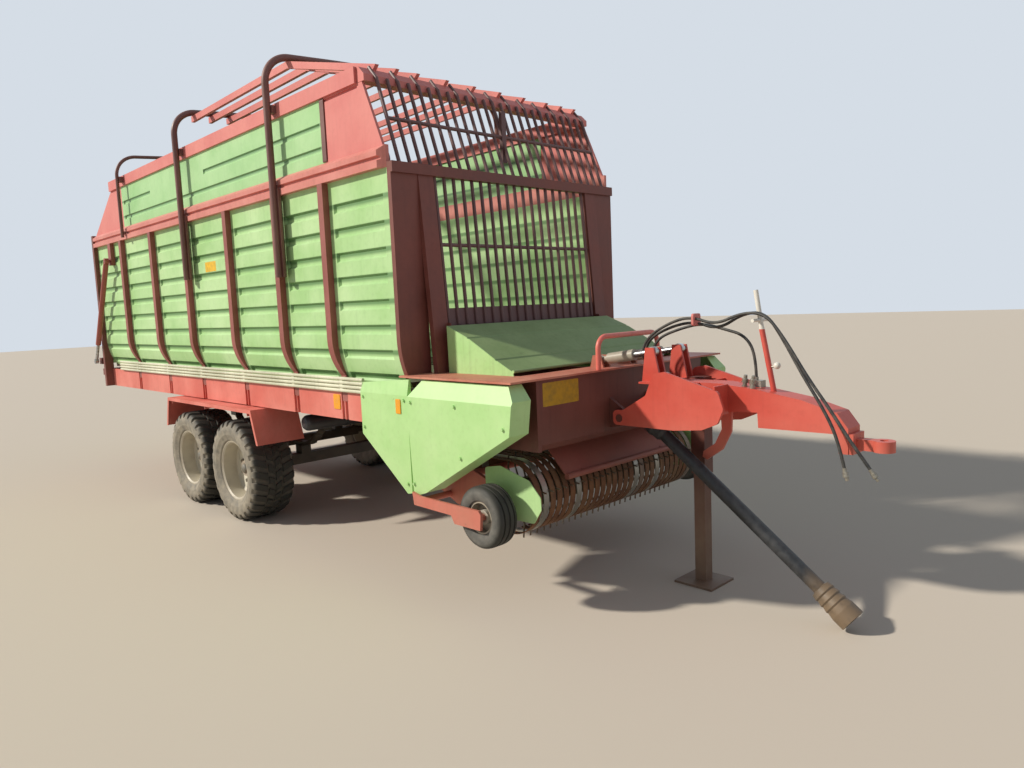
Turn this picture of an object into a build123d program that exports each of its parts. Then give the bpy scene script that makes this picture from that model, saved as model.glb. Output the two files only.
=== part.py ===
"""Tandem-axle forage wagon with pickup, loading rotor, high sides and an open hay top.

Units are millimetres. X points forward along the drawbar, Y to the left and Z up.
X = 0 is the front face of the load box while the solids are built. Everything is then
moved along X so that the origin lies under the middle of the whole wagon, on the ground.
"""
from build123d import *
import math
import os

os.makedirs("parts", exist_ok=True)

# Load box
WALL_Y = 1150.0
WALL_THICK = 25.0
BOX_LENGTH = 6290.0
FLOOR_TOP = 1360.0
FLOOR_THICK = 30.0
WALL_TOP = 2827.0
FOOT_TOP = 1700.0
FOOT_TUCK = 90.0
GROOVE_PITCH = 174.0
GROOVE_FIRST = 194.0
GROOVE_ROWS = 8
GROOVE_HEIGHT = 70.0
GROOVE_DEPTH = 18.0
GROOVE_MARGIN = 60.0
GROOVE_SLOPE = 40.0
MID_RAIL_TOP = 2974.0
MID_RAIL_DEPTH = 45.0
UPPER_PANEL_TOP = 3422.0
ROOF_Z = 3530.0
STANCHION_DEPTH = 50.0
STANCHION_WIDTH = 70.0
STANCHION_X = [-776.0, -1515.0, -2436.0, -3405.0, -4319.0, -5287.0]
UPPER_FRONT_X = -740.0
ROOF_BEAM_X = -286.0
ROOF_BEAM_DEPTH = 86.0

# Ends of the box
REAR_X = -BOX_LENGTH
REAR_POST = 60.0
CHASSIS_REAR_X = REAR_X - 110
UPPER_REAR_X = REAR_X + 1085
UPPER_REAR_SLOPE = 370.0

# Chassis
RAIL_Y = 1090.0
RAIL_BOTTOM = 1085.0
RAIL_TOP = 1225.0
RAIL_PANEL_TOP = 1300.0
RAIL_PANEL_THICK = 15.0
MAIN_BEAM_Y = 500.0
MAIN_BEAM_WIDTH = 120.0
MAIN_BEAM_BOTTOM = 1025.0
BAY_REAR_X = -520.0
FRONT_PLATE_HALF = 15.0
CROSS_BOX_X0 = 850.0
CROSS_BOX_X1 = 1050.0
CROSS_BOX_BOTTOM = 1000.0
CROSS_BOX_TOP = 1440.0
FLANGE_THICK = 12.0

# Running gear
TYRE_DIAMETER = 945.0
TYRE_WIDTH = 420.0
RIM_DIAMETER = 540.0
TYRE_OUTER_Y = 1250.0
AXLE_X = [-2603.0, -3647.0]
AXLE_SECTION = 100.0
STUB_RADIUS = 35.0
RUNNING_GAP = 0.3

# Pickup
PICKUP_PIVOT = (0.0, 760.0)
REEL_CENTRE = (745.0, 672.0)
REEL_HALF_WIDTH = 880.0
FRONT_PLATE_Y = REEL_HALF_WIDTH + 15
REEL_DRUM_RADIUS = 105.0
REEL_SHAFT_RADIUS = 25.0
TINE_RADIUS = 275.0
TINE_ROWS = 27
STRIPPER_RADIUS = 240.0
STRIPPER_THICK = 6.0
STRIPPER_TAIL = 330.0
ARM_GAP = 35.0
ARM_THICK = 25.0
WIND_GUARD = (1030.0, 800.0)
GAUGE_CENTRE = (780.0, 610.0)
GAUGE_DIAMETER = 390.0
GAUGE_WIDTH = 160.0
GAUGE_OUTER_Y = 1180.0

# Loading rotor
ROTOR_CENTRE = (100.0, 960.0)
ROTOR_RADIUS = 278.0
ROTOR_STARS = 15

# Drawbar
HINGE = (1150.0, 1130.0)
EYE_CENTRE_X = 2705.0
EYE_Z = 1070.0
EYE_OUTER_R = 56.0
EYE_BORE_R = 20.0
BEAM_HALF = 80.0
CHEEK_Y = 225.0
CHEEK_THICK = 20.0
CYLINDER_Y = 150.0
CYLINDER_REAR = (930.0, 1500.0)
CYLINDER_FRONT = (1360.0, 1560.0)
SHAFT_PIVOT = (1150.0, 1140.0)
SHAFT_END = (2550.0, 66.0)
SHAFT_GUARD_RADIUS = 42.0
JACK_X = 1515.0
JACK_Y = 155.0
JACK_LEG_HALF = 40.0
JACK_WALL = 10.0
JACK_TOP = 1380.0

# Tailgate
TAILGATE_HINGE = (REAR_X - 120, 2935.0)
LIFT_TOP = (REAR_X + 590, 2620.0)
LIFT_BOTTOM = (REAR_X - 200, 1400.0)
LIFT_Y = 1236.0

# Shift that puts the origin under the middle of the wagon
REAR_EXTREME_X = LIFT_BOTTOM[0] - 40
FRONT_EXTREME_X = EYE_CENTRE_X + EYE_OUTER_R
SHIFT_X = -(REAR_EXTREME_X + FRONT_EXTREME_X) / 2

parts = {}


def block(x0, x1, y0, y1, z0, z1):
    """Rectangular bar between two corners."""
    return Pos((x0 + x1) / 2, (y0 + y1) / 2, (z0 + z1) / 2) * Box(x1 - x0, y1 - y0, z1 - z0)


def outline(points, radius=0):
    """Closed line through the points, with its corners rounded where a radius is given."""
    if radius:
        return FilletPolyline(*points, radius=radius, close=True)
    return Polyline(*points, close=True)


def side_shape(points, y0, y1, radius=0):
    """Outline in XZ, given thickness from y0 to y1."""
    face = make_face(outline(points, radius))
    return Pos(0, y1, 0) * extrude(Plane.XZ * face, amount=y1 - y0)


def front_shape(points, x0, x1, radius=0):
    """Outline in YZ, given length from x0 to x1."""
    face = make_face(outline(points, radius))
    return Pos(x0, 0, 0) * extrude(Plane.YZ * face, amount=x1 - x0)


def rod_y(x, z, radius, y0, y1):
    """Round bar along Y."""
    return Pos(x, (y0 + y1) / 2, z) * Rot(90, 0, 0) * Cylinder(radius, y1 - y0)


def bar_between(start, end, section):
    """Straight bar from one point to another with a given section."""
    a = Vector(*start)
    b = Vector(*end)
    return extrude(Plane(origin=a, z_dir=b - a) * section, amount=(b - a).length)


def rod_between(start, end, radius):
    """Round bar from one point to another."""
    return bar_between(start, end, Circle(radius))


def bent_tube(points, bend, radius):
    """Round bar along a path with rounded corners."""
    path = FilletPolyline(*points, radius=bend)
    start = Plane(origin=path @ 0, z_dir=path % 0)
    return sweep(start * Circle(radius), path=path)


def other_side(shape):
    """Left-hand twin of a right-hand solid."""
    return mirror(shape, about=Plane.XZ)


def both_sides(right):
    """A right-hand solid and its left-hand twin."""
    return [right, other_side(right)]


def turned(points, x, y, z):
    """Ring turned about a Y axis through (x, y, z) from (offset along Y, radius) points."""
    ring = revolve(make_face(Polyline(*points, close=True)), Axis.X, 360)
    return Pos(x, y, z) * Rot(0, 0, 90) * ring


def turned_along(points, start, end):
    """Solid turned about the line from start to end from (distance, radius) points."""
    a = Vector(*start)
    profile = make_face(Polyline(*[(radius, distance) for distance, radius in points], close=True))
    solid = revolve(Plane.XZ * profile, Axis.Z, 360)
    return Plane(origin=a, z_dir=Vector(*end) - a) * solid


def pair(name, right):
    """Store a right-hand solid together with its left-hand twin."""
    parts[name] = Part() + both_sides(right)


# Chassis: two main beams, side rails with their outer panels, and the cross members under the floor
chassis = Part()
panel = block(CHASSIS_REAR_X, BAY_REAR_X, -RAIL_Y - RAIL_PANEL_THICK, -RAIL_Y, RAIL_BOTTOM, RAIL_PANEL_TOP)
for x in STANCHION_X:
    panel -= block(x - 45, x + 45, -RAIL_Y - 20, -RAIL_Y + 1, RAIL_BOTTOM - 1, RAIL_PANEL_TOP + 1)
    panel += block(x - 4, x + 4, -RAIL_Y - RAIL_PANEL_THICK, -RAIL_Y, RAIL_BOTTOM, RAIL_TOP)
rail = block(CHASSIS_REAR_X, BAY_REAR_X, -RAIL_Y, -RAIL_Y + 60, RAIL_BOTTOM, RAIL_TOP) + panel
beam = block(CHASSIS_REAR_X, BAY_REAR_X, -MAIN_BEAM_Y - MAIN_BEAM_WIDTH / 2,
             -MAIN_BEAM_Y + MAIN_BEAM_WIDTH / 2, MAIN_BEAM_BOTTOM, RAIL_TOP)
chassis += both_sides(rail) + both_sides(beam)
for x in STANCHION_X + [CHASSIS_REAR_X + 35]:
    chassis += block(x - 35, x + 35, -RAIL_Y, RAIL_Y, RAIL_TOP - 110, RAIL_TOP)
chassis += block(BAY_REAR_X, BAY_REAR_X + 70, -RAIL_Y, RAIL_Y, MAIN_BEAM_BOTTOM, RAIL_TOP)
parts["chassis_frame"] = chassis

# Bay frame: side plates and cross box that carry the pickup, the loading rotor and the drawbar
plate_in = FRONT_PLATE_Y - FRONT_PLATE_HALF
plate_out = FRONT_PLATE_Y + FRONT_PLATE_HALF
bay_plate = side_shape([
    (BAY_REAR_X, ROTOR_CENTRE[1]), (PICKUP_PIVOT[0] - 80, ROTOR_CENTRE[1]),
    (PICKUP_PIVOT[0] - 80, PICKUP_PIVOT[1] - 60), (PICKUP_PIVOT[0] + 80, PICKUP_PIVOT[1] - 60),
    (PICKUP_PIVOT[0] + 80, ROTOR_CENTRE[1]), (400, ROTOR_CENTRE[1]), (600, CROSS_BOX_BOTTOM),
    (CROSS_BOX_X1, CROSS_BOX_BOTTOM), (CROSS_BOX_X1, CROSS_BOX_TOP), (0, CROSS_BOX_TOP),
    (0, FLOOR_TOP - FLOOR_THICK), (BAY_REAR_X, FLOOR_TOP - FLOOR_THICK),
], -plate_out, -plate_in)
bay_plate -= block(BAY_REAR_X - 5, BAY_REAR_X + 75, -RAIL_Y, 0, MAIN_BEAM_BOTTOM - 80, RAIL_TOP)
side_flange = block(0, CROSS_BOX_X1, -WALL_Y, -plate_in + 40, CROSS_BOX_TOP, CROSS_BOX_TOP + FLANGE_THICK)
pivot_pin = rod_y(PICKUP_PIVOT[0], PICKUP_PIVOT[1], 30, -plate_out - 35, -plate_out)
bay = Part() + both_sides(bay_plate) + both_sides(side_flange) + both_sides(pivot_pin)
bay += block(BAY_REAR_X, BAY_REAR_X + 70, -FRONT_PLATE_Y, FRONT_PLATE_Y, RAIL_TOP, FLOOR_TOP - FLOOR_THICK)
bay += side_shape([
    (CROSS_BOX_X0, CROSS_BOX_BOTTOM + 30), (CROSS_BOX_X0 + 40, CROSS_BOX_BOTTOM), (CROSS_BOX_X1 - 30, CROSS_BOX_BOTTOM),
    (CROSS_BOX_X1, CROSS_BOX_BOTTOM + 40), (CROSS_BOX_X1, CROSS_BOX_TOP), (CROSS_BOX_X0, CROSS_BOX_TOP),
], -plate_out, plate_out)
bay += block(CROSS_BOX_X0, CROSS_BOX_X1 + 30, -WALL_Y, WALL_Y, CROSS_BOX_TOP, CROSS_BOX_TOP + FLANGE_THICK)
hinge_ear = side_shape([
    (CROSS_BOX_X1 - 5, HINGE[1] - 75), (HINGE[0], HINGE[1] - 55), (HINGE[0] + 55, HINGE[1] - 30),
    (HINGE[0] + 55, HINGE[1] + 30), (HINGE[0], HINGE[1] + 60), (CROSS_BOX_X1 - 5, HINGE[1] + 130),
], -CHEEK_Y + 10, -CHEEK_Y + 40)
hinge_pin = rod_y(HINGE[0], HINGE[1], 25, -CHEEK_Y - 25, -CHEEK_Y + 35)
lug = side_shape([
    (CYLINDER_REAR[0] - 60, CROSS_BOX_TOP), (CYLINDER_REAR[0] + 60, CROSS_BOX_TOP),
    (CYLINDER_REAR[0] + 32, CYLINDER_REAR[1] + 32), (CYLINDER_REAR[0] - 32, CYLINDER_REAR[1] + 32),
], -CYLINDER_Y - 41, -CYLINDER_Y - 26)
lug_pin = rod_y(CYLINDER_REAR[0], CYLINDER_REAR[1], 15, -CYLINDER_Y - 30, -CYLINDER_Y + 30)
for piece in (hinge_ear, hinge_pin, lug, Pos(0, 67, 0) * lug, lug_pin):
    bay += both_sides(piece)
stub_end = SHAFT_PIVOT[0] - 40
bay += rod_between((CROSS_BOX_X1 - 5, 0, SHAFT_PIVOT[1]), (stub_end, 0, SHAFT_PIVOT[1]), 32)
yoke_half = 22.0
for y0, y1 in ((-yoke_half - 12, -yoke_half), (yoke_half, yoke_half + 12)):
    bay += block(stub_end - 5, SHAFT_PIVOT[0], y0, y1, SHAFT_PIVOT[1] - 24, SHAFT_PIVOT[1] + 24)
    bay += rod_y(SHAFT_PIVOT[0], SHAFT_PIVOT[1], 24, y0, y1)
parts["bay_frame"] = bay

# Floor with its four scraper chains and slats
floor = block(REAR_X, -300, -WALL_Y + FOOT_TUCK, WALL_Y - FOOT_TUCK, FLOOR_TOP - FLOOR_THICK, FLOOR_TOP)
for x in STANCHION_X:
    floor += block(x - 30, x + 30, -1000, 1000, RAIL_TOP, FLOOR_TOP - FLOOR_THICK)
parts["floor"] = floor
CHAIN_Y = (300.0, 850.0)
SLAT_PITCH = 240.0
slat_count = int((BOX_LENGTH - 540) / SLAT_PITCH)
chains = Part()
for side in (-1, 1):
    for y in CHAIN_Y:
        chains += block(REAR_X + 20, -330, side * y - 12, side * y + 12, FLOOR_TOP, FLOOR_TOP + 14)
    slat = block(-20, 20, min(side * (CHAIN_Y[0] - 30), side * (CHAIN_Y[1] + 30)),
                 max(side * (CHAIN_Y[0] - 30), side * (CHAIN_Y[1] + 30)), FLOOR_TOP, FLOOR_TOP + 25)
    chains += [Pos(REAR_X + 140 + row * SLAT_PITCH, 0, 0) * slat for row in range(slat_count)]
parts["scraper_floor"] = chains


# Side walls: pressed sheet with closed grooves in each bay, and a foot that curves in to the floor
foot_radius = ((FOOT_TOP - FLOOR_TOP) ** 2 + FOOT_TUCK ** 2) / (2 * FOOT_TUCK)


def wall_plane(x, down):
    """Plane on the right wall's outer face, facing inwards, at a distance down from its top edge."""
    angle = max(0.0, (down - (WALL_TOP - FOOT_TOP)) / foot_radius)
    straight = min(down, WALL_TOP - FOOT_TOP)
    y = -WALL_Y + foot_radius * (1 - math.cos(angle))
    z = WALL_TOP - straight - foot_radius * math.sin(angle)
    return Plane(origin=(x, y, z), x_dir=(1, 0, 0), z_dir=(0, math.cos(angle), math.sin(angle)))


def foot_line(y_top, z_top, y_end, z_end):
    """Curve that leaves a vertical face downwards and tucks in under the box."""
    return TangentArc((y_top, z_top), (y_end, z_end), tangent=(0, -1))


inner_y = -WALL_Y + WALL_THICK
section = Line((-WALL_Y, WALL_TOP), (-WALL_Y, FOOT_TOP))
section += foot_line(-WALL_Y, FOOT_TOP, -WALL_Y + FOOT_TUCK, FLOOR_TOP)
section += Line((-WALL_Y + FOOT_TUCK, FLOOR_TOP), (inner_y + FOOT_TUCK, FLOOR_TOP))
section += foot_line(inner_y, FOOT_TOP, inner_y + FOOT_TUCK, FLOOR_TOP)
section += Line((inner_y, FOOT_TOP), (inner_y, WALL_TOP))
section += Line((inner_y, WALL_TOP), (-WALL_Y, WALL_TOP))
side_wall = Pos(REAR_X, 0, 0) * extrude(Plane.YZ * make_face(section), amount=BOX_LENGTH)
bay_edges = [0.0] + STANCHION_X + [REAR_X]
grooves = []
for front, rear in zip(bay_edges, bay_edges[1:]):
    x0 = rear + GROOVE_MARGIN + (STANCHION_WIDTH / 2 if rear > REAR_X else 0)
    x1 = front - GROOVE_MARGIN - (STANCHION_WIDTH / 2 if front < 0 else 0)
    for row in range(GROOVE_ROWS):
        plane = wall_plane((x0 + x1) / 2, GROOVE_FIRST + row * GROOVE_PITCH)
        grooves.append(extrude(plane * Rectangle(x1 - x0, GROOVE_HEIGHT), amount=GROOVE_DEPTH,
                               taper=GROOVE_SLOPE))
side_wall -= grooves
pair("side_walls", side_wall)

# Lower side frame: stanchions that follow the wall, and the stepped mid rail
rail_out = -WALL_Y - MID_RAIL_DEPTH
mid_rail = front_shape([
    (inner_y, MID_RAIL_TOP), (-WALL_Y, MID_RAIL_TOP), (rail_out, MID_RAIL_TOP - 34), (rail_out, MID_RAIL_TOP - 69),
    (rail_out + 20, MID_RAIL_TOP - 74), (rail_out + 20, MID_RAIL_TOP - 94), (rail_out, MID_RAIL_TOP - 99),
    (rail_out, WALL_TOP), (inner_y, WALL_TOP),
], REAR_X, 0)
mitre = make_face(Polyline((-MID_RAIL_DEPTH, rail_out - 1), (1, rail_out - 1), (1, -WALL_Y), (0, -WALL_Y), close=True))
mid_rail -= Pos(0, 0, WALL_TOP - 1) * extrude(Plane.XY * mitre, amount=MID_RAIL_TOP - WALL_TOP + 2)
stanchion_out = -WALL_Y - STANCHION_DEPTH
section = Line((-WALL_Y, WALL_TOP), (stanchion_out, WALL_TOP))
section += Line((stanchion_out, WALL_TOP), (stanchion_out, FOOT_TOP))
section += foot_line(stanchion_out, FOOT_TOP, -RAIL_Y - 10, FLOOR_TOP + 60)
section += Polyline((-RAIL_Y - 10, FLOOR_TOP + 60), (-RAIL_Y - 10, RAIL_TOP), (-RAIL_Y + 60, RAIL_TOP),
                    (-RAIL_Y + 60, FLOOR_TOP - FLOOR_THICK), (-WALL_Y + FOOT_TUCK, FLOOR_TOP - FLOOR_THICK),
                    (-WALL_Y + FOOT_TUCK, FLOOR_TOP))
section += foot_line(-WALL_Y, FOOT_TOP, -WALL_Y + FOOT_TUCK, FLOOR_TOP)
section += Line((-WALL_Y, FOOT_TOP), (-WALL_Y, WALL_TOP))
stanchion = extrude(Plane.YZ * make_face(section), amount=STANCHION_WIDTH)
side_frame = mid_rail
side_frame += [Pos(x - STANCHION_WIDTH / 2, 0, 0) * stanchion for x in STANCHION_X]
side_frame += block(LIFT_TOP[0] - 50, LIFT_TOP[0] + 50, rail_out, -WALL_Y, LIFT_TOP[1] - 50, WALL_TOP)
side_frame += rod_y(LIFT_TOP[0], LIFT_TOP[1], 18, -LIFT_Y - 24, rail_out + 5)
pair("side_frames", side_frame)

# Upper panels with two shallow grooves, the higher one broken by a smooth field
panel = block(UPPER_REAR_X, UPPER_FRONT_X, -WALL_Y, inner_y, MID_RAIL_TOP, UPPER_PANEL_TOP)
upper_grooves = [
    {"z": MID_RAIL_TOP + 101, "x0": UPPER_REAR_X + 60, "x1": UPPER_FRONT_X - 60},
    {"z": MID_RAIL_TOP + 266, "x0": UPPER_REAR_X + 60, "x1": -4300.0},
    {"z": MID_RAIL_TOP + 266, "x0": -2900.0, "x1": UPPER_FRONT_X - 60},
]
for row in upper_grooves:
    plane = Plane(origin=((row["x0"] + row["x1"]) / 2, -WALL_Y, row["z"]), x_dir=(1, 0, 0), z_dir=(0, 1, 0))
    panel -= extrude(plane * Rectangle(row["x1"] - row["x0"], 44), amount=12, taper=GROOVE_SLOPE)
pair("upper_panels", panel)

# Upper frames: the top rail and the slanted end panels, each with a sunk line round its edge
upper_frame = block(UPPER_REAR_X - UPPER_REAR_SLOPE, ROOF_BEAM_X, -WALL_Y - 20, -WALL_Y + 40, UPPER_PANEL_TOP, ROOF_Z)
front_panel = [
    (ROOF_BEAM_X, UPPER_PANEL_TOP), (UPPER_FRONT_X, UPPER_PANEL_TOP),
    (UPPER_FRONT_X, MID_RAIL_TOP), (-30, MID_RAIL_TOP), (ROOF_BEAM_X + 60, UPPER_PANEL_TOP),
]
front_end = side_shape(front_panel, -WALL_Y, -WALL_Y + 20)
front_end -= block(UPPER_FRONT_X + 12, UPPER_FRONT_X + 30, -WALL_Y - 1, -WALL_Y + 10, MID_RAIL_TOP + 20,
                   UPPER_PANEL_TOP - 12)
front_end -= block(UPPER_FRONT_X + 30, ROOF_BEAM_X, -WALL_Y - 1, -WALL_Y + 10, UPPER_PANEL_TOP - 30,
                   UPPER_PANEL_TOP - 12)
upper_frame += front_end
upper_frame += side_shape([
    (UPPER_REAR_X, UPPER_PANEL_TOP), (UPPER_REAR_X, MID_RAIL_TOP),
    (REAR_X, MID_RAIL_TOP), (UPPER_REAR_X - UPPER_REAR_SLOPE, UPPER_PANEL_TOP),
], -WALL_Y, -WALL_Y + 20)
pair("upper_frames", upper_frame)

# Roof: front cross beam with its bevelled face, hay bows and the flat bars under them
beam_front = ROOF_BEAM_X + ROOF_BEAM_DEPTH
parts["roof_beam"] = side_shape([
    (ROOF_BEAM_X, ROOF_Z - 105), (beam_front, ROOF_Z - 105), (beam_front, ROOF_Z - 60),
    (ROOF_BEAM_X + 30, ROOF_Z - 5), (ROOF_BEAM_X, ROOF_Z - 5),
], -WALL_Y, WALL_Y)
BOW_Y = WALL_Y + 79.0
BOW_BEND = 230.0
BOW_ARCH = 9000.0
BOW_FALL = 0.075
bow_table = [
    {"x": -1420.0, "apex": 3980.0, "foot": 2190.0, "radius": 28.0, "sleeve": 100.0},
    {"x": -3300.0, "apex": 3950.0, "foot": 2270.0, "radius": 28.0, "sleeve": 100.0},
    {"x": -5050.0, "apex": 3825.0, "foot": 2840.0, "radius": 18.0, "sleeve": 0.0},
]


def bow_height(row, y):
    """Height of a bow's centre line above a point across the wagon."""
    slope = math.atan(BOW_FALL)
    if abs(y) > BOW_ARCH * math.sin(slope):
        return row["apex"] - BOW_FALL * abs(y)
    return row["apex"] - BOW_ARCH / math.cos(slope) + math.sqrt(BOW_ARCH ** 2 - y ** 2)


bows = Part()
for row in bow_table:
    corner = row["apex"] - BOW_FALL * BOW_Y
    bow = bent_tube([
        (row["x"], -BOW_Y, row["foot"]), (row["x"], -BOW_Y, corner), (row["x"], 0, row["apex"]),
        (row["x"], BOW_Y, corner), (row["x"], BOW_Y, row["foot"]),
    ], [BOW_BEND, BOW_ARCH, BOW_BEND], row["radius"])
    tube_in = BOW_Y - row["radius"]
    clamp = block(row["x"] - 35, row["x"] + 35, -tube_in - 8, -WALL_Y - 20, UPPER_PANEL_TOP + 30, ROOF_Z - 20)
    seat = block(row["x"] - 30, row["x"] + 30, -tube_in - 8, rail_out, MID_RAIL_TOP - 99, MID_RAIL_TOP - 69)
    sleeves = [clamp, seat]
    if row["sleeve"]:
        half = row["sleeve"] / 2
        sleeves.append(block(row["x"] - half, row["x"] + half, -tube_in - 14, rail_out, row["foot"], WALL_TOP + 48))
    for sleeve in sleeves:
        bow += both_sides(sleeve)
    bows += bow
parts["roof_bows"] = bows
BAR_Y = [134.0, 402.0, 670.0, 850.0, 1020.0]
BAR_TALL = 55.0
BAR_WIDE = 30.0
bars = Part()
for y in BAR_Y:
    front_top = bow_height(bow_table[0], y) - bow_table[0]["radius"]
    rear_top = bow_height(bow_table[1], y) - bow_table[1]["radius"]
    beam_top = ROOF_Z - 5
    bar = side_shape([
        (bow_table[1]["x"] - 45, rear_top), (bow_table[0]["x"], front_top), (ROOF_BEAM_X + 66, beam_top + 30),
        (ROOF_BEAM_X + 30, beam_top), (ROOF_BEAM_X, beam_top), (bow_table[0]["x"], front_top - BAR_TALL),
        (bow_table[1]["x"] - 45, rear_top - BAR_TALL),
    ], -y - BAR_WIDE / 2, -y + BAR_WIDE / 2)
    bars += both_sides(bar)
bars -= bows
bars -= parts["roof_beam"]
parts["roof_bars"] = bars

# Front of the box: corner posts, leaning inner posts, mid beam and two grilles
deck = CROSS_BOX_TOP + FLANGE_THICK
MID_BEAM_LOW = WALL_TOP - 35
front_frame = block(0, 60, -WALL_Y, WALL_Y, MID_BEAM_LOW, WALL_TOP + 35)
section = Line((-WALL_Y, MID_BEAM_LOW), (-WALL_Y, FOOT_TOP))
section += foot_line(-WALL_Y, FOOT_TOP, -WALL_Y + FOOT_TUCK, FLOOR_TOP)
section += Polyline((-WALL_Y + FOOT_TUCK, FLOOR_TOP), (-900, FLOOR_TOP), (-900, MID_BEAM_LOW), (-WALL_Y, MID_BEAM_LOW))
corner_post = extrude(Plane.YZ * make_face(section), amount=40)
corner_post -= block(-1, 41, -WALL_Y, -800, FLOOR_TOP - 10, deck)
inner_post = side_shape([(5, MID_BEAM_LOW), (45, MID_BEAM_LOW), (150, deck), (105, deck)], -930, -800)
flange = side_shape([(105, deck), (200, deck), (200, deck + 30), (160, 1790), (80, 1790)], -808, -800)
for piece in (corner_post, inner_post, flange):
    front_frame += both_sides(piece)
parts["front_frame"] = front_frame

GRILLE_BAR = RegularPolygon(13, 8)
LOWER_BARS = 19
LOWER_HALF = 774.0
grille = Part()
bars_low = [bar_between((103, -LOWER_HALF + row * 2 * LOWER_HALF / (LOWER_BARS - 1), 1775),
                        (20, -LOWER_HALF + row * 2 * LOWER_HALF / (LOWER_BARS - 1), MID_BEAM_LOW), GRILLE_BAR)
            for row in range(LOWER_BARS)]
grille += bars_low
grille += rod_y(48, 2330, 13, -800, 800)
grille += side_shape([(82, 1890), (90, 1890), (115, 1590), (107, 1590)], -800, 800)
grille -= front_frame
parts["front_grille_lower"] = grille

UPPER_BARS = 25
UPPER_HALF = 1060.0
upper_grille = Part()
for row in range(UPPER_BARS):
    y = -UPPER_HALF + row * 2 * UPPER_HALF / (UPPER_BARS - 1)
    upper_grille += bar_between((20, y, WALL_TOP + 35), (beam_front + 14, y, ROOF_Z - 75), GRILLE_BAR)
    if row % 2 == 0:
        upper_grille += bar_between((beam_front + 14, y, ROOF_Z - 80), (ROOF_BEAM_X + 22, y, ROOF_Z + 8), GRILLE_BAR)
upper_grille += rod_y(-85, 3170, 13, -UPPER_HALF, UPPER_HALF)
upper_grille += block(-93, -63, -22, 22, WALL_TOP + 150, ROOF_Z - 170)
upper_grille -= front_frame
upper_grille -= parts["roof_beam"]
parts["front_grille_upper"] = upper_grille

# Hood over the rotor: folded top sheet with a rolled front lip above an open slot
HOOD_Y = plate_in - 14
HOOD_SHEET = 6.0
hood_top = [(186, 1771), (388, 1694), (397, 1684), (406, 1686), (649, 1556), (658, 1545), (667, 1546), (809, 1478)]
hood_under = [(x, z - HOOD_SHEET) for x, z in reversed(hood_top)]
hood_end = side_shape(hood_top + [(818, deck), (190, deck)], -HOOD_Y, -HOOD_Y + HOOD_SHEET)
hood = side_shape(hood_top + hood_under, -HOOD_Y, HOOD_Y)
hood += both_sides(hood_end)
hood += rod_y(813, 1479, 10, -HOOD_Y, HOOD_Y)
parts["front_hood"] = hood

# Side covers over the pickup drive: pressed shells with a band along the top that leans in
COVER_SHEET = 6.0
COVER_IN = -1020.0
front_cover = [(110, 1310), (230, 1430), (1040, 1430), (1110, 1340), (1080, 1140), (270, 690), (140, 650)]
rear_cover = [(-460, 1330), (-440, 1390), (100, 1430), (100, 660), (50, 650), (-460, 1020)]
cover_table = [
    {"points": front_cover, "out": -1180.0, "in": COVER_IN, "lean": 50.0},
    {"points": rear_cover, "out": -1166.0, "in": -1130.0, "lean": 22.0},
]


def cover_body(row, inset):
    """Solid cover outline, drawn in by an inset on every side but the open one."""
    face = make_face(Polyline(*row["points"], close=True))
    if inset:
        face = offset(face, amount=-inset, kind=Kind.INTERSECTION)
    out = row["out"] + inset
    body = Pos(0, row["in"], 0) * extrude(Plane.XZ * face, amount=row["in"] - out)
    lean = front_shape([
        (out - 10, 1320), (out, 1320), (out + row["lean"], 1430), (out + row["lean"], 1450), (out - 10, 1450),
    ], -500, 1200)
    return body - lean


cover = Part()
for row in cover_table:
    cover += cover_body(row, 0) - cover_body(row, COVER_SHEET)
cover_mounts = [
    {"x": -440, "z": 1130, "out": -1163}, {"x": 50, "z": 1000, "out": -1163},
    {"x": 130, "z": 1000, "out": -1177}, {"x": 560, "z": 1220, "out": -1177}, {"x": 900, "z": 1220, "out": -1177},
]
for row in cover_mounts:
    cover += block(row["x"], row["x"] + 40, row["out"], -plate_out, row["z"], row["z"] + 40)
pair("drive_covers", cover)

# Hydraulic pipes along the right-hand wall foot
PIPE_RADIUS = 13.0
PIPE_Y = -1125.0
pipes = Part()
for row in range(4):
    z = RAIL_PANEL_TOP + 10 + 30 * row
    pipes += rod_between((REAR_X + 390, PIPE_Y, z), (BAY_REAR_X + 40, PIPE_Y, z), PIPE_RADIUS)
for x in STANCHION_X:
    pipes += block(x - 20, x + 20, PIPE_Y - 6, -RAIL_Y - 10, RAIL_PANEL_TOP, RAIL_PANEL_TOP + 110)
parts["hydraulic_pipes"] = pipes

# Axles, leaf springs and fenders
axle_z = TYRE_DIAMETER / 2
axles = Part()
for x in AXLE_X:
    half = AXLE_SECTION / 2
    axles += block(x - half, x + half, -770, 770, axle_z - half, axle_z + half)
    axles += rod_y(x, axle_z, STUB_RADIUS, -1080, 1080)
parts["axles"] = axles

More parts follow.
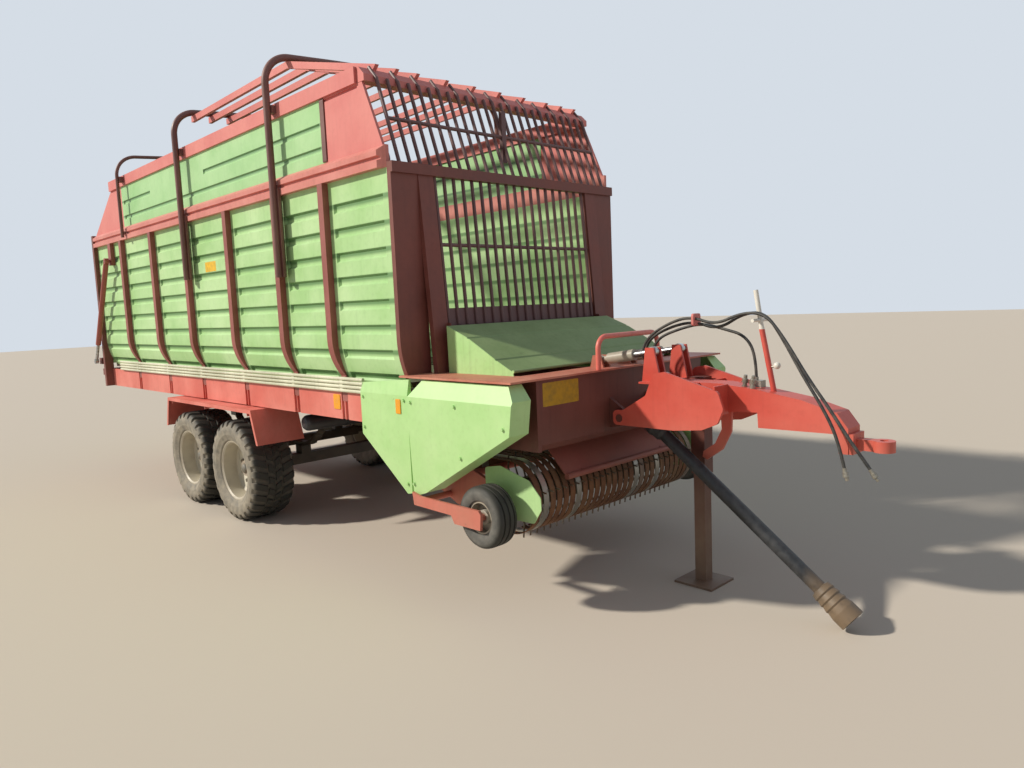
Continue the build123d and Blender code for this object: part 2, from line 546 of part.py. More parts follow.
SPRING_Y = 500.0
LEAF_THICK = 14.0
SPRING_MID_Z = 640.0
SPRING_RISE = 185.0
leaf_halves = [420.0, 320.0, 210.0]
spring_radius = (leaf_halves[0] ** 2 + SPRING_RISE ** 2) / (2 * SPRING_RISE)
axle_mid = (AXLE_X[0] + AXLE_X[1]) / 2
spring = Part()
for x in AXLE_X:
    for row, half in enumerate(leaf_halves):
        rise = spring_radius - math.sqrt(spring_radius ** 2 - half ** 2)
        top_z = SPRING_MID_Z - LEAF_THICK * row
        upper = ThreePointArc((x - half, top_z + rise), (x, top_z), (x + half, top_z + rise))
        lower = Pos(0, -LEAF_THICK) * upper
        face = make_face(upper + Line(upper @ 1, lower @ 1) + lower + Line(lower @ 0, upper @ 0))
        spring += Pos(0, -SPRING_Y + 40, 0) * extrude(Plane.XZ * face, amount=80)
    spring += block(x - 60, x + 60, -SPRING_Y - 50, -SPRING_Y + 50, axle_z + AXLE_SECTION / 2,
                    SPRING_MID_Z - LEAF_THICK * 2.5)
for x, half in ((AXLE_X[0] + 440, 60), (axle_mid, 130), (AXLE_X[1] - 440, 60)):
    spring += side_shape([
        (x - half - 30, MAIN_BEAM_BOTTOM), (x + half + 30, MAIN_BEAM_BOTTOM), (x + half, 880), (x + half, 790),
        (x - half, 790), (x - half, 880),
    ], -SPRING_Y - 40, -SPRING_Y + 40)
pair("springs", spring)

FENDER_TOP = RAIL_BOTTOM - 10
FENDER_LOW = 770.0
FENDER_SHEET = 6.0


def fender_line(inset):
    """Four corners of the fender's side view, front to rear, moved inwards by an inset."""
    return [
        (AXLE_X[0] + 593 - inset, FENDER_LOW), (AXLE_X[0] + 493 - 0.65 * inset, FENDER_TOP - inset),
        (AXLE_X[1] - 413 + 0.65 * inset, FENDER_TOP - inset), (AXLE_X[1] - 503 + inset, FENDER_LOW),
    ]


fender = side_shape(fender_line(0) + fender_line(FENDER_SHEET)[::-1], -1240, -800)
fender += side_shape(fender_line(0) + fender_line(32)[::-1], -1246, -1240)
for x in (AXLE_X[0] + 400, axle_mid, AXLE_X[1] - 320):
    fender += block(x - 35, x + 35, -RAIL_Y + 5, -1000, FENDER_TOP - 3, RAIL_BOTTOM + 5)
    fender += side_shape([(x - 4, FENDER_TOP - 60), (x + 4, FENDER_TOP - 60), (x + 4, FENDER_TOP - 3),
                          (x - 4, FENDER_TOP - 3)], -1235, -820)
fender -= parts["chassis_frame"]
pair("fenders", fender)

# Wheels: tyres turned in one piece, rims with a dished disc and a hub
tyre_half = TYRE_WIDTH / 2
tyre_r = TYRE_DIAMETER / 2
rim_r = RIM_DIAMETER / 2
tyre_profile = [
    (-160, rim_r), (-tyre_half + 8, rim_r + 70), (-tyre_half, tyre_r - 90), (-tyre_half + 20, tyre_r - 32),
    (-tyre_half + 52, tyre_r), (tyre_half - 52, tyre_r), (tyre_half - 20, tyre_r - 32),
    (tyre_half, tyre_r - 90), (tyre_half - 8, rim_r + 70), (160, rim_r),
]
rim_profile = [
    (-175, rim_r + 14), (-170, rim_r + 14), (-165, rim_r), (165, rim_r), (165, rim_r - 12), (0, rim_r - 12),
    (-12, rim_r - 35), (-12, 90), (60, 90), (60, STUB_RADIUS + RUNNING_GAP), (-75, STUB_RADIUS + RUNNING_GAP),
    (-75, 70), (-26, 90), (-26, rim_r - 35), (-40, rim_r - 12), (-165, rim_r - 12), (-175, rim_r + 2),
]
wheel_y = TYRE_OUTER_Y - tyre_half
for place, x in zip(("front", "rear"), AXLE_X):
    right_tyre = turned(tyre_profile, x, -wheel_y, tyre_r)
    right_rim = turned(rim_profile, x, -wheel_y, tyre_r)
    parts[f"tyre_{place}_right"] = right_tyre
    parts[f"tyre_{place}_left"] = other_side(right_tyre)
    parts[f"rim_{place}_right"] = right_rim
    parts[f"rim_{place}_left"] = other_side(right_rim)

# Air tank across the frame, strapped under the right-hand main beam
TANK_X = -1730.0
TANK_RADIUS = 70.0
tank_z = MAIN_BEAM_BOTTOM - 5 - TANK_RADIUS
tank = turned_along([
    (0, 0), (0, 30), (10, 52), (30, 66), (50, TANK_RADIUS), (550, TANK_RADIUS), (570, 66), (590, 52),
    (600, 30), (600, 0),
], (TANK_X, -950, tank_z), (TANK_X, -350, tank_z))
for y in (-MAIN_BEAM_Y - 45, -MAIN_BEAM_Y + 15):
    tank += rod_y(TANK_X, tank_z, TANK_RADIUS + 4, y, y + 30)
    tank += block(TANK_X - 20, TANK_X + 20, y, y + 30, MAIN_BEAM_BOTTOM - 12, MAIN_BEAM_BOTTOM)
parts["air_tank"] = tank

# Rear: posts and header, with the tailgate hung from them
rear_out = WALL_Y + MID_RAIL_DEPTH
GATE_FACE_X = REAR_X - 110
GATE_LOW = FLOOR_TOP + 10
GATE_HIGH = MID_RAIL_TOP - 94
rear = block(REAR_X - REAR_POST, REAR_X, -rear_out, -rear_out + 100, RAIL_BOTTOM, MID_RAIL_TOP)
rear += other_side(rear)
rear += block(REAR_X - REAR_POST, REAR_X, -rear_out, rear_out, MID_RAIL_TOP - 60, MID_RAIL_TOP)
rear += block(REAR_X - 110, REAR_X, -rear_out, rear_out, RAIL_TOP, RAIL_TOP + 80)
gate = block(GATE_FACE_X, GATE_FACE_X + 30, -WALL_Y, WALL_Y, GATE_LOW, GATE_HIGH)
gate_grooves = []
for row in range(GROOVE_ROWS - 1):
    z = WALL_TOP - GROOVE_FIRST - row * GROOVE_PITCH
    for y in (-WALL_Y / 2, WALL_Y / 2):
        plane = Plane(origin=(GATE_FACE_X, y, z), x_dir=(0, 1, 0), z_dir=(1, 0, 0))
        gate_grooves.append(extrude(plane * Rectangle(WALL_Y - 160, GROOVE_HEIGHT), amount=GROOVE_DEPTH,
                                    taper=GROOVE_SLOPE))
gate -= gate_grooves
gate_frame = Part()
for y in (-WALL_Y + 40, 0, WALL_Y - 40):
    gate_frame += block(GATE_FACE_X - 50, GATE_FACE_X, y - 30, y + 30, GATE_LOW, GATE_HIGH)
for z in (GATE_LOW + 30, GATE_HIGH - 30):
    gate_frame += block(GATE_FACE_X - 50, GATE_FACE_X, -WALL_Y, WALL_Y, z - 30, z + 30)
hinge_x, hinge_z = TAILGATE_HINGE
for y in (-700, 700):
    rear += side_shape([
        (REAR_X - 60, hinge_z - 21), (REAR_X - 60, hinge_z + 25), (hinge_x, hinge_z + 24),
        (hinge_x - 24, hinge_z), (hinge_x, hinge_z - 24),
    ], y - 12, y + 12)
    rear += rod_y(hinge_x, hinge_z, 12, y - 42, y + 42)
    for lug_y in (y - 30, y + 30):
        lug = side_shape([
            (hinge_x - 24, GATE_HIGH - 10), (hinge_x - 24, hinge_z + 10), (hinge_x - 10, hinge_z + 24),
            (hinge_x + 10, hinge_z + 24), (hinge_x + 24, hinge_z + 10), (hinge_x + 24, GATE_HIGH - 10),
        ], lug_y - 10, lug_y + 10)
        gate_frame += lug - rod_y(hinge_x, hinge_z, 12 + RUNNING_GAP, lug_y - 20, lug_y + 20)
gate_frame += both_sides(block(LIFT_BOTTOM[0] - 40, GATE_FACE_X - 40, -LIFT_Y + 46, -WALL_Y + 30,
                               LIFT_BOTTOM[1] - 40, LIFT_BOTTOM[1] + 40))
gate_frame -= gate
rear -= parts["chassis_frame"]
parts["rear_frame"] = rear
parts["tailgate"] = gate
parts["tailgate_frame"] = gate_frame

# Tailgate lift cylinders outside the side walls
lift_run = Vector(LIFT_BOTTOM[0] - LIFT_TOP[0], 0, LIFT_BOTTOM[1] - LIFT_TOP[1])
lift_length = lift_run.length
lift_dir = lift_run.normalized()
LIFT_PIN = 18.0
LIFT_ROD = 18.0


def along_lift(distance):
    """Point on the right-hand lift cylinder's axis, measured from its upper pin."""
    return (LIFT_TOP[0] + lift_dir.X * distance, -LIFT_Y, LIFT_TOP[1] + lift_dir.Z * distance)


barrel = rod_between(along_lift(25), along_lift(lift_length - 260), 30)
barrel -= rod_between(along_lift(120), along_lift(lift_length - 200), LIFT_ROD + 0.4)
barrel += rod_y(LIFT_TOP[0], LIFT_TOP[1], 34, -LIFT_Y - 22, -LIFT_Y + 22)
barrel -= rod_y(LIFT_TOP[0], LIFT_TOP[1], LIFT_PIN + 0.4, -LIFT_Y - 60, -LIFT_Y + 60)
pair("tailgate_lift_barrels", barrel)
lift_rod = rod_between(along_lift(130), along_lift(lift_length - 20), LIFT_ROD)
lift_rod += rod_y(LIFT_BOTTOM[0], LIFT_BOTTOM[1], 32, -LIFT_Y - 20, -LIFT_Y + 20)
pair("tailgate_lift_rods", lift_rod)

# Drawbar: beam, cheek plates, webs, ears for the cylinders, head plate and hitch eye
BEAM_TOP = 1370.0
bar = side_shape([
    (1300, 1190), (1300, BEAM_TOP), (1790, BEAM_TOP), (2050, 1340), (2290, 1300), (2490, 1240), (2550, 1160),
    (2550, 1020), (2500, 1020), (2490, 1125), (2035, 1120), (2030, 1210), (1800, 1200),
], -BEAM_HALF, BEAM_HALF)
cheek = side_shape([
    (1100, 1085), (1560, 1085), (1760, 1105), (1865, 1150), (1905, 1240), (1870, 1340), (1500, 1445),
    (1420, 1430), (1360, 1290), (1180, 1185), (1100, 1180),
], -CHEEK_Y - CHEEK_THICK, -CHEEK_Y, 30)
cheek -= rod_y(HINGE[0], HINGE[1], 25 + RUNNING_GAP, -CHEEK_Y - 50, -CHEEK_Y + 5)
ear = side_shape([
    (1300, BEAM_TOP), (CYLINDER_FRONT[0] - 32, CYLINDER_FRONT[1] + 28), (CYLINDER_FRONT[0] + 32, CYLINDER_FRONT[1] + 28),
    (1440, BEAM_TOP),
], -CYLINDER_Y - 41, -CYLINDER_Y - 26)
eye_pin = rod_y(CYLINDER_FRONT[0], CYLINDER_FRONT[1], 15, -CYLINDER_Y - 30, -CYLINDER_Y + 30)
webs = [block(x, x + 12, -CHEEK_Y - 5, -BEAM_HALF + 5, 1190, 1368) for x in (1400, 1640, 1830)]
foot = block(1300, 1440, -CHEEK_Y - 5, -BEAM_HALF + 5, BEAM_TOP - 8, BEAM_TOP + 4)
for piece in [cheek, ear, Pos(0, 67, 0) * ear, eye_pin, foot] + webs:
    bar += both_sides(piece)
bar += block(2545, 2575, -BEAM_HALF + 5, BEAM_HALF - 5, EYE_Z - 50, EYE_Z + 60)
bar += block(2570, EYE_CENTRE_X - 40, -30, 30, EYE_Z - 30, EYE_Z + 30)
bar += Pos(EYE_CENTRE_X, 0, EYE_Z) * Cylinder(EYE_OUTER_R, 60)
bar -= Pos(EYE_CENTRE_X, 0, EYE_Z) * Cylinder(EYE_BORE_R, 80)
sleeve_half = JACK_LEG_HALF + JACK_WALL
bar += block(JACK_X - 48, JACK_X + 48, BEAM_HALF - 5, JACK_Y - sleeve_half, 1200, BEAM_TOP)
bar += side_shape([
    (1700, 1205), (1780, 1205), (1772, 1050), (1710, 930), (1600, 852), (1568, 868), (1575, 905),
    (1660, 965), (1708, 1060),
], BEAM_HALF - 5, BEAM_HALF + 15)
parts["drawbar"] = bar

# Jack beside the drawbar beam
sleeve = block(JACK_X - sleeve_half, JACK_X + sleeve_half, JACK_Y - sleeve_half, JACK_Y + sleeve_half, 740, JACK_TOP)
cavity = sleeve_half - 4
sleeve -= block(JACK_X - cavity, JACK_X + cavity, JACK_Y - cavity, JACK_Y + cavity, 765, JACK_TOP - 8)
mouth = JACK_LEG_HALF + RUNNING_GAP
sleeve -= block(JACK_X - mouth, JACK_X + mouth, JACK_Y - mouth, JACK_Y + mouth, 700, 770)
parts["jack_sleeve"] = sleeve
leg = block(JACK_X - JACK_LEG_HALF, JACK_X + JACK_LEG_HALF, JACK_Y - JACK_LEG_HALF, JACK_Y + JACK_LEG_HALF, 14, 1000)
leg += block(JACK_X - 140, JACK_X + 140, JACK_Y - 140, JACK_Y + 140, 0, 15)
parts["jack_leg"] = leg

# Drawbar cylinders
ram_run = Vector(CYLINDER_FRONT[0] - CYLINDER_REAR[0], 0, CYLINDER_FRONT[1] - CYLINDER_REAR[1])
ram_length = ram_run.length
ram_dir = ram_run.normalized()
RAM_ROD = 20.0
RAM_PIN = 15.0


def along_ram(distance):
    """Point on the right-hand drawbar cylinder's axis, measured from its rear pin."""
    return (CYLINDER_REAR[0] + ram_dir.X * distance, -CYLINDER_Y, CYLINDER_REAR[1] + ram_dir.Z * distance)


barrel = rod_y(CYLINDER_REAR[0], CYLINDER_REAR[1], 30, -CYLINDER_Y - 20, -CYLINDER_Y + 20)
barrel += rod_between(along_ram(15), along_ram(90), 20)
barrel += rod_between(along_ram(80), along_ram(290), 36)
barrel -= rod_between(along_ram(95), along_ram(320), RAM_ROD + 0.4)
barrel -= rod_y(CYLINDER_REAR[0], CYLINDER_REAR[1], RAM_PIN + 0.4, -CYLINDER_Y - 60, -CYLINDER_Y + 60)
pair("drawbar_cylinder_barrels", barrel)
stem = rod_between(along_ram(130), along_ram(ram_length - 24), RAM_ROD)
stem += rod_y(CYLINDER_FRONT[0], CYLINDER_FRONT[1], 34, -CYLINDER_Y - 18, -CYLINDER_Y + 18)
stem -= rod_y(CYLINDER_FRONT[0], CYLINDER_FRONT[1], 23, -CYLINDER_Y - 30, -CYLINDER_Y + 30)
pair("drawbar_cylinder_rods", stem)

# Power shaft in ribbed guards, resting with its tractor end on the ground
shaft_from = (SHAFT_PIVOT[0], 0, SHAFT_PIVOT[1])
shaft_to = (SHAFT_END[0], 0, SHAFT_END[1])
shaft_length = (Vector(*shaft_to) - Vector(*shaft_from)).length
SHAFT_RADIUS = 18.0
SHAFT_BORE = 17.5
boot_ribs = [
    {"from_end": 235, "radius": SHAFT_GUARD_RADIUS}, {"from_end": 230, "radius": 60},
    {"from_end": 200, "radius": 67}, {"from_end": 190, "radius": 62}, {"from_end": 160, "radius": 70},
    {"from_end": 150, "radius": 65}, {"from_end": 120, "radius": 73}, {"from_end": 110, "radius": 68},
    {"from_end": 70, "radius": 76}, {"from_end": 0, "radius": 76},
]
shaft_profile = [(0, 0), (0, SHAFT_RADIUS), (80, SHAFT_RADIUS), (80, 64), (150, 68), (170, 60), (215, 56),
                 (235, SHAFT_GUARD_RADIUS)]
shaft_profile += [(shaft_length - row["from_end"], row["radius"]) for row in boot_ribs]
shaft_profile += [(shaft_length, SHAFT_BORE), (shaft_length - 80, SHAFT_BORE), (shaft_length - 80, 0)]
shaft = turned_along(shaft_profile, shaft_from, shaft_to)
shaft += rod_y(SHAFT_PIVOT[0], SHAFT_PIVOT[1], 24, -yoke_half + RUNNING_GAP, yoke_half - RUNNING_GAP)
parts["pto_shaft"] = shaft

# Rail along the front edge of the pickup cover
parts["handrail"] = bent_tube([
    (CROSS_BOX_X1 + 10, -330, deck), (CROSS_BOX_X1 + 10, -330, 1665), (CROSS_BOX_X1 + 10, 330, 1665),
    (CROSS_BOX_X1 + 10, 330, deck),
], 80, 17)

# Hose holder on the drawbar
holder = rod_between((2100, 0, 1300), (2020, 0, 1700), 16)
holder += rod_between((2022, 0, 1690), (1985, 0, 1920), 14)
holder += rod_between((2010, -90, 1745), (2010, 90, 1745), 10)
holder -= bar
parts["hose_holder"] = holder

# Hydraulic hoses: from fittings at the rear of the drawbar over the holder to their couplers
HOSE_RADIUS = 9.0
hose_table = [
    {"name": "hose_long", "points": [
        (1282, -75, 1428), (1212, -75, 1525), (1262, -75, 1645), (1425, -75, 1735), (1590, -78, 1778),
        (1760, -72, 1722), (1930, -70, 1792), (2080, -75, 1785), (2200, -95, 1650), (2350, -122, 1430),
        (2480, -140, 1265), (2590, -150, 1105), (2690, -148, 970),
    ]},
    {"name": "hose_middle", "points": [
        (1282, -45, 1428), (1212, -45, 1525), (1262, -45, 1640), (1430, -45, 1715), (1600, -46, 1745),
        (1765, -42, 1692), (1930, -42, 1790), (2070, -45, 1788), (2180, -62, 1640), (2310, -98, 1440),
        (2440, -128, 1262), (2520, -140, 1110), (2555, -142, 960),
    ]},
    {"name": "hose_lower", "points": [
        (1282, 45, 1428), (1212, 45, 1525), (1262, 45, 1635), (1430, 46, 1695), (1600, 45, 1730),
        (1760, 44, 1690), (1885, 46, 1655), (1955, 48, 1550), (1960, 48, 1405),
    ]},
]


def bend_radii(points):
    """Bend at each corner of a hose, nearly half as long as the shorter run beside it allows."""
    radii = []
    for before, corner, after in zip(points, points[1:], points[2:]):
        run_in = Vector(*corner) - Vector(*before)
        run_out = Vector(*after) - Vector(*corner)
        half_turn = math.radians(run_in.get_angle(run_out)) / 2
        radii.append(0.45 * min(run_in.length, run_out.length) / math.tan(half_turn))
    return radii


def end_run(points, length):
    """A hose's last point and the point that lies a length further on."""
    last = Vector(*points[-1])
    return tuple(last), tuple(last + (last - Vector(*points[-2])).normalized() * length)


for row in hose_table:
    parts[row["name"]] = bent_tube(row["points"], bend_radii(row["points"]), HOSE_RADIUS)
couplers = Part()
for row in hose_table[:2]:
    couplers += [turned_along([(0, 0), (0, 12), (25, 12), (25, 16), (50, 16), (50, 10), (70, 10), (70, 0)],
                              *end_run(row["points"], 70))]
parts["hose_couplers"] = couplers
fittings = block(1292, 1350, -90, 62, BEAM_TOP, BEAM_TOP + 40)
fittings += block(1930, 2005, 18, 76, 1340, 1385)
for row in hose_table:
    x, y, z = row["points"][0]
    fittings += rod_between((1300, y, 1403), (x, y, z), 13)
fittings += rod_between((1960, 48, 1380), (1960, 48, 1405), 13)
fittings -= bar
for row in hose_table:
    fittings -= parts[row["name"]]
parts["hose_fittings"] = fittings

# Loading rotor: star plates set round the drum in a spiral
rotor_half = plate_in - 80
rotor = rod_y(ROTOR_CENTRE[0], ROTOR_CENTRE[1], 110, -rotor_half, rotor_half)
rotor += rod_y(ROTOR_CENTRE[0], ROTOR_CENTRE[1], 35, -plate_in + RUNNING_GAP, plate_in - RUNNING_GAP)
for row in range(ROTOR_STARS):
    y = -(rotor_half - 20) + row * 2 * (rotor_half - 20) / (ROTOR_STARS - 1)
    star = []
    for point in range(12):
        radius = ROTOR_RADIUS if point % 2 == 0 else 150
        angle = math.radians(30 * point + 14 * row)
        star.append((ROTOR_CENTRE[0] + radius * math.cos(angle), ROTOR_CENTRE[1] + radius * math.sin(angle)))
    rotor += side_shape(star, y - 6, y + 6)
parts["loading_rotor"] = rotor

# Pickup frame: arms beside the reel, cross tube, and outer arms for the gauge wheels
arm_in = REEL_HALF_WIDTH + ARM_GAP
arm_out = arm_in + ARM_THICK
reel_x, reel_z = REEL_CENTRE
GAUGE_ARM_IN = GAUGE_OUTER_Y + 15
GAUGE_STUB = (225.0, 632.0)
TUBE_AT = (400.0, 790.0)
arm = side_shape([
    (-60, 790), (-60, 730), (0, 700), (300, 570), (520, 545), (reel_x, reel_z - 60), (reel_x + 60, reel_z),
    (reel_x, reel_z + 60), (400, 850), (60, 820),
], -arm_out, -arm_in)
arm -= rod_y(PICKUP_PIVOT[0], PICKUP_PIVOT[1], 31, -arm_out - 10, -arm_in + 10)
gauge_arm = side_shape([
    (165, 690), (180, 605), (560, 600), (590, GAUGE_CENTRE[1] - 60), (830, GAUGE_CENTRE[1] - 60),
    (840, GAUGE_CENTRE[1] + 40), (820, GAUGE_CENTRE[1] + 60), (250, 670),
], -GAUGE_ARM_IN - 20, -GAUGE_ARM_IN)
stub = rod_y(GAUGE_STUB[0], GAUGE_STUB[1], 22, -GAUGE_ARM_IN - 10, -arm_out + 5)
hub = rod_y(GAUGE_CENTRE[0], GAUGE_CENTRE[1], 20, -GAUGE_ARM_IN - 15, -GAUGE_OUTER_Y + 125)
pickup = rod_y(TUBE_AT[0], TUBE_AT[1], 35, -arm_in - 15, arm_in + 15)
for piece in (arm, gauge_arm, stub, hub):
    pickup += both_sides(piece)
parts["pickup_frame"] = pickup

# Stripper bands: hoops round the front of the reel that run back to a cross sheet
BAND_COUNT = TINE_ROWS + 1
band_pitch = 2 * REEL_HALF_WIDTH / BAND_COUNT
band_width = band_pitch - 18
hoop = CenterArc((0, 0), STRIPPER_RADIUS, -100, 190)
inner_hoop = CenterArc((0, 0), STRIPPER_RADIUS - STRIPPER_THICK, 90, -190)
top_line = Polyline((0, STRIPPER_RADIUS), (-STRIPPER_TAIL, STRIPPER_RADIUS),
                    (-STRIPPER_TAIL, STRIPPER_RADIUS - STRIPPER_THICK), (0, STRIPPER_RADIUS - STRIPPER_THICK))
band_face = make_face(hoop + top_line + inner_hoop + Line(inner_hoop @ 1, hoop @ 0))
band = Pos(reel_x, 0, reel_z) * extrude(Plane.XZ * band_face, amount=band_width)
strippers = block(reel_x - STRIPPER_TAIL - 6, reel_x - STRIPPER_TAIL + 10, -REEL_HALF_WIDTH, REEL_HALF_WIDTH,
                  reel_z + 120, reel_z + STRIPPER_RADIUS)
strippers += [Pos(0, -REEL_HALF_WIDTH + (row + 0.5) * band_pitch + band_width / 2, 0) * band
              for row in range(BAND_COUNT)]
strippers -= pickup
parts["stripper_bands"] = strippers

# Side shields of the pickup
shield = side_shape([
    (600, 650), (600, 865), (741, 890), (990, 828), (1085, 735), (1088, 660), (1023, 565), (760, 560),
], -arm_out - 6, -arm_out, 24)
pair("pickup_shields", shield)

# Wind guard: a tube ahead of the reel with a deflector, on links from the stripper sheet
guard_x, guard_z = WIND_GUARD
link_z = reel_z + STRIPPER_RADIUS
sheet_x = reel_x - STRIPPER_TAIL + 2
link = side_shape([
    (guard_x - 8, guard_z - 18), (guard_x + 16, guard_z + 6), (800, link_z + 25), (sheet_x - 8, link_z + 25),
    (sheet_x - 8, link_z), (sheet_x + 8, link_z), (sheet_x + 25, link_z + 5), (790, link_z + 5),
], -8, 8)
wind_guard = rod_y(guard_x, guard_z, 20, -640, 600)
wind_guard += side_shape([
    (guard_x - 22, guard_z + 12), (guard_x - 14, guard_z + 16), (870, 972), (862, 968),
], -640, 600)
for column in (6, 20):
    wind_guard += Pos(0, -REEL_HALF_WIDTH + (column + 0.5) * band_pitch, 0) * link
wind_guard -= pickup
wind_guard -= strippers
parts["wind_guard"] = wind_guard

# Reel: drum with rows of hooked tines that pass between the bands
reel = rod_y(reel_x, reel_z, REEL_DRUM_RADIUS, -REEL_HALF_WIDTH, REEL_HALF_WIDTH)
reel += rod_y(reel_x, reel_z, REEL_SHAFT_RADIUS, -arm_in + RUNNING_GAP, arm_in - RUNNING_GAP)
TINE_BARS = 4
TINE_THICK = 7.0
tine_shape = [
    {"radius": REEL_DRUM_RADIUS - 12, "turn": 3.0}, {"radius": 190.0, "turn": 1.4},
    {"radius": TINE_RADIUS, "turn": -8.2}, {"radius": TINE_RADIUS - 3, "turn": -9.8},
    {"radius": 184.0, "turn": -1.2}, {"radius": REEL_DRUM_RADIUS - 12, "turn": -3.0},
]
tines = []
for bar_row in range(TINE_BARS):
    corners = []
    for row in tine_shape:
        angle = math.radians(20 + 360 / TINE_BARS * bar_row + row["turn"])
        corners.append((reel_x + row["radius"] * math.cos(angle), reel_z + row["radius"] * math.sin(angle)))
    tine = side_shape(corners, -TINE_THICK / 2, TINE_THICK / 2)
    tines += [Pos(0, -REEL_HALF_WIDTH + (column + 1) * band_pitch, 0) * tine for column in range(TINE_ROWS)]
reel += tines
parts["pickup_reel"] = reel

# Gauge wheels
gauge_r = GAUGE_DIAMETER / 2
gauge_half = GAUGE_WIDTH / 2
hub_bore = 20 + 1.0
gauge_profile = [
    (-60, 102), (-gauge_half, 140), (-gauge_half + 6, gauge_r - 16), (-gauge_half + 30, gauge_r),
    (gauge_half - 30, gauge_r), (gauge_half - 6, gauge_r - 16), (gauge_half, 140), (60, 102),
]
gauge_rim = [
    (-62, 102), (62, 102), (62, 92), (8, 92), (8, 45), (40, 45), (40, hub_bore), (-40, hub_bore),
    (-40, 45), (-8, 45), (-8, 92), (-62, 92),
]
for side, sign in (("right", -1), ("left", 1)):
    y = sign * (GAUGE_OUTER_Y - gauge_half)
    parts[f"gauge_tyre_{side}"] = turned(gauge_profile, GAUGE_CENTRE[0], y, GAUGE_CENTRE[1])
    parts[f"gauge_rim_{side}"] = turned(gauge_rim, GAUGE_CENTRE[0], y, GAUGE_CENTRE[1])

for name, shape in parts.items():
    export_step(Pos(SHIFT_X, 0, 0) * shape, f"parts/{name}.step")
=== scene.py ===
import math

import bmesh
import bpy
import numpy as np
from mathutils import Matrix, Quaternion, Vector


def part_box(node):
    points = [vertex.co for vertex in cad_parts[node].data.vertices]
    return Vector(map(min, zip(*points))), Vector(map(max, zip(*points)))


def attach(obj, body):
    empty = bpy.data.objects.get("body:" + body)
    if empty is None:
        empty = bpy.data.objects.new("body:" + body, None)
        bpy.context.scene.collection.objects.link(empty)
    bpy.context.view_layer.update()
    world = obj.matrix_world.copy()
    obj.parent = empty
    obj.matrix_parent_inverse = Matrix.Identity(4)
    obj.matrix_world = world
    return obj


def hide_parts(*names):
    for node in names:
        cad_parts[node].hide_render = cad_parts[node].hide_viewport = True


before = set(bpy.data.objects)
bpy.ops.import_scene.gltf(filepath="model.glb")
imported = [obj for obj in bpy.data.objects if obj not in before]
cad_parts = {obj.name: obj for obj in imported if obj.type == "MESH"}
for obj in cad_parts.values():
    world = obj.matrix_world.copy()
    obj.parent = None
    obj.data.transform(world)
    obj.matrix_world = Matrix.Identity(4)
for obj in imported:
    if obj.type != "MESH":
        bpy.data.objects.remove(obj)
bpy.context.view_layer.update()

# Camera
# The photograph was taken at eye height, ahead of the wagon and to its right, with the camera held
# slightly off level. Metres and degrees in the wagon's own frame.
CAMERA_PLACE = (6.0115, -4.088, 1.896)
CAMERA_HEADING = 135.92
CAMERA_PITCH = -6.07
CAMERA_ROLL = -2.46
LENS_MM = 26.2
heading = math.radians(CAMERA_HEADING)
pitch = math.radians(CAMERA_PITCH)
look = Vector((math.cos(heading) * math.cos(pitch), math.sin(heading) * math.cos(pitch), math.sin(pitch)))
camera = bpy.data.objects.new("camera", bpy.data.cameras.new("camera"))
camera.data.lens = LENS_MM
camera.data.sensor_width = 36.0
camera.location = CAMERA_PLACE
camera.rotation_mode = "QUATERNION"
camera.rotation_quaternion = look.to_track_quat("-Z", "Y") @ Quaternion((0, 0, 1), math.radians(CAMERA_ROLL))
bpy.context.scene.collection.objects.link(camera)
bpy.context.scene.camera = camera
bpy.context.scene.view_settings.view_transform = "Standard"


# Light and floor
# Soft daylight in a studio: a warm key from the rear on the right-hand side, as the sun stood, a weak cool
# fill from ahead on the left, and a pale floor that keeps the shadow.
def linear(hex_colour):
    """sRGB hex colour as linear red, green, blue and alpha."""
    channels = [int(hex_colour[i:i + 2], 16) / 255 for i in (1, 3, 5)]
    return [c / 12.92 if c <= 0.04045 else ((c + 0.055) / 1.055) ** 2.4 for c in channels] + [1.0]


def add_node(tree, kind, sockets=None, output=None, **properties):
    """One shader node with its properties set and its sockets linked or given a value. Returns the output
    that is named, or else the first one in use."""
    node = tree.nodes.new(kind)
    for key, value in properties.items():
        setattr(node, key, value)
    for key, value in (sockets or {}).items():
        if isinstance(value, bpy.types.NodeSocket):
            tree.links.new(value, node.inputs[key])
        else:
            node.inputs[key].default_value = value
    return node.outputs[output] if output else next(socket for socket in node.outputs if socket.enabled)


def new_material(name):
    """Empty node material with its Principled shader and its tree."""
    material = bpy.data.materials.new(name)
    material.use_nodes = True
    tree = material.node_tree
    return material, tree, tree.nodes["Principled BSDF"]


def lamp(name, direction, energy, colour, width):
    """Distant lamp that shines along a direction and whose disc is some degrees wide."""
    data = bpy.data.lights.new(name, "SUN")
    data.energy = energy
    data.color = linear(colour)[:3]
    data.angle = math.radians(width)
    lamp_object = bpy.data.objects.new(name, data)
    lamp_object.rotation_mode = "QUATERNION"
    lamp_object.rotation_quaternion = Vector(direction).to_track_quat("-Z", "Y")
    bpy.context.scene.collection.objects.link(lamp_object)


lamp("key_light", (0.60, 0.72, -0.62), 3.85, "#FFF6E8", 3.0)
lamp("fill_light", (-0.75, -0.25, -0.55), 0.15, "#DCE8FF", 60.0)
world = bpy.data.worlds.new("studio")
world.use_nodes = True
tree = world.node_tree
daylight = tree.nodes["Background"]
daylight.inputs["Color"].default_value = linear("#E3EAF4")
daylight.inputs["Strength"].default_value = 0.29
backdrop = add_node(tree, "ShaderNodeBackground", {"Color": linear("#D5DDE6"), "Strength": 1.0})
ray = add_node(tree, "ShaderNodeLightPath").node.outputs
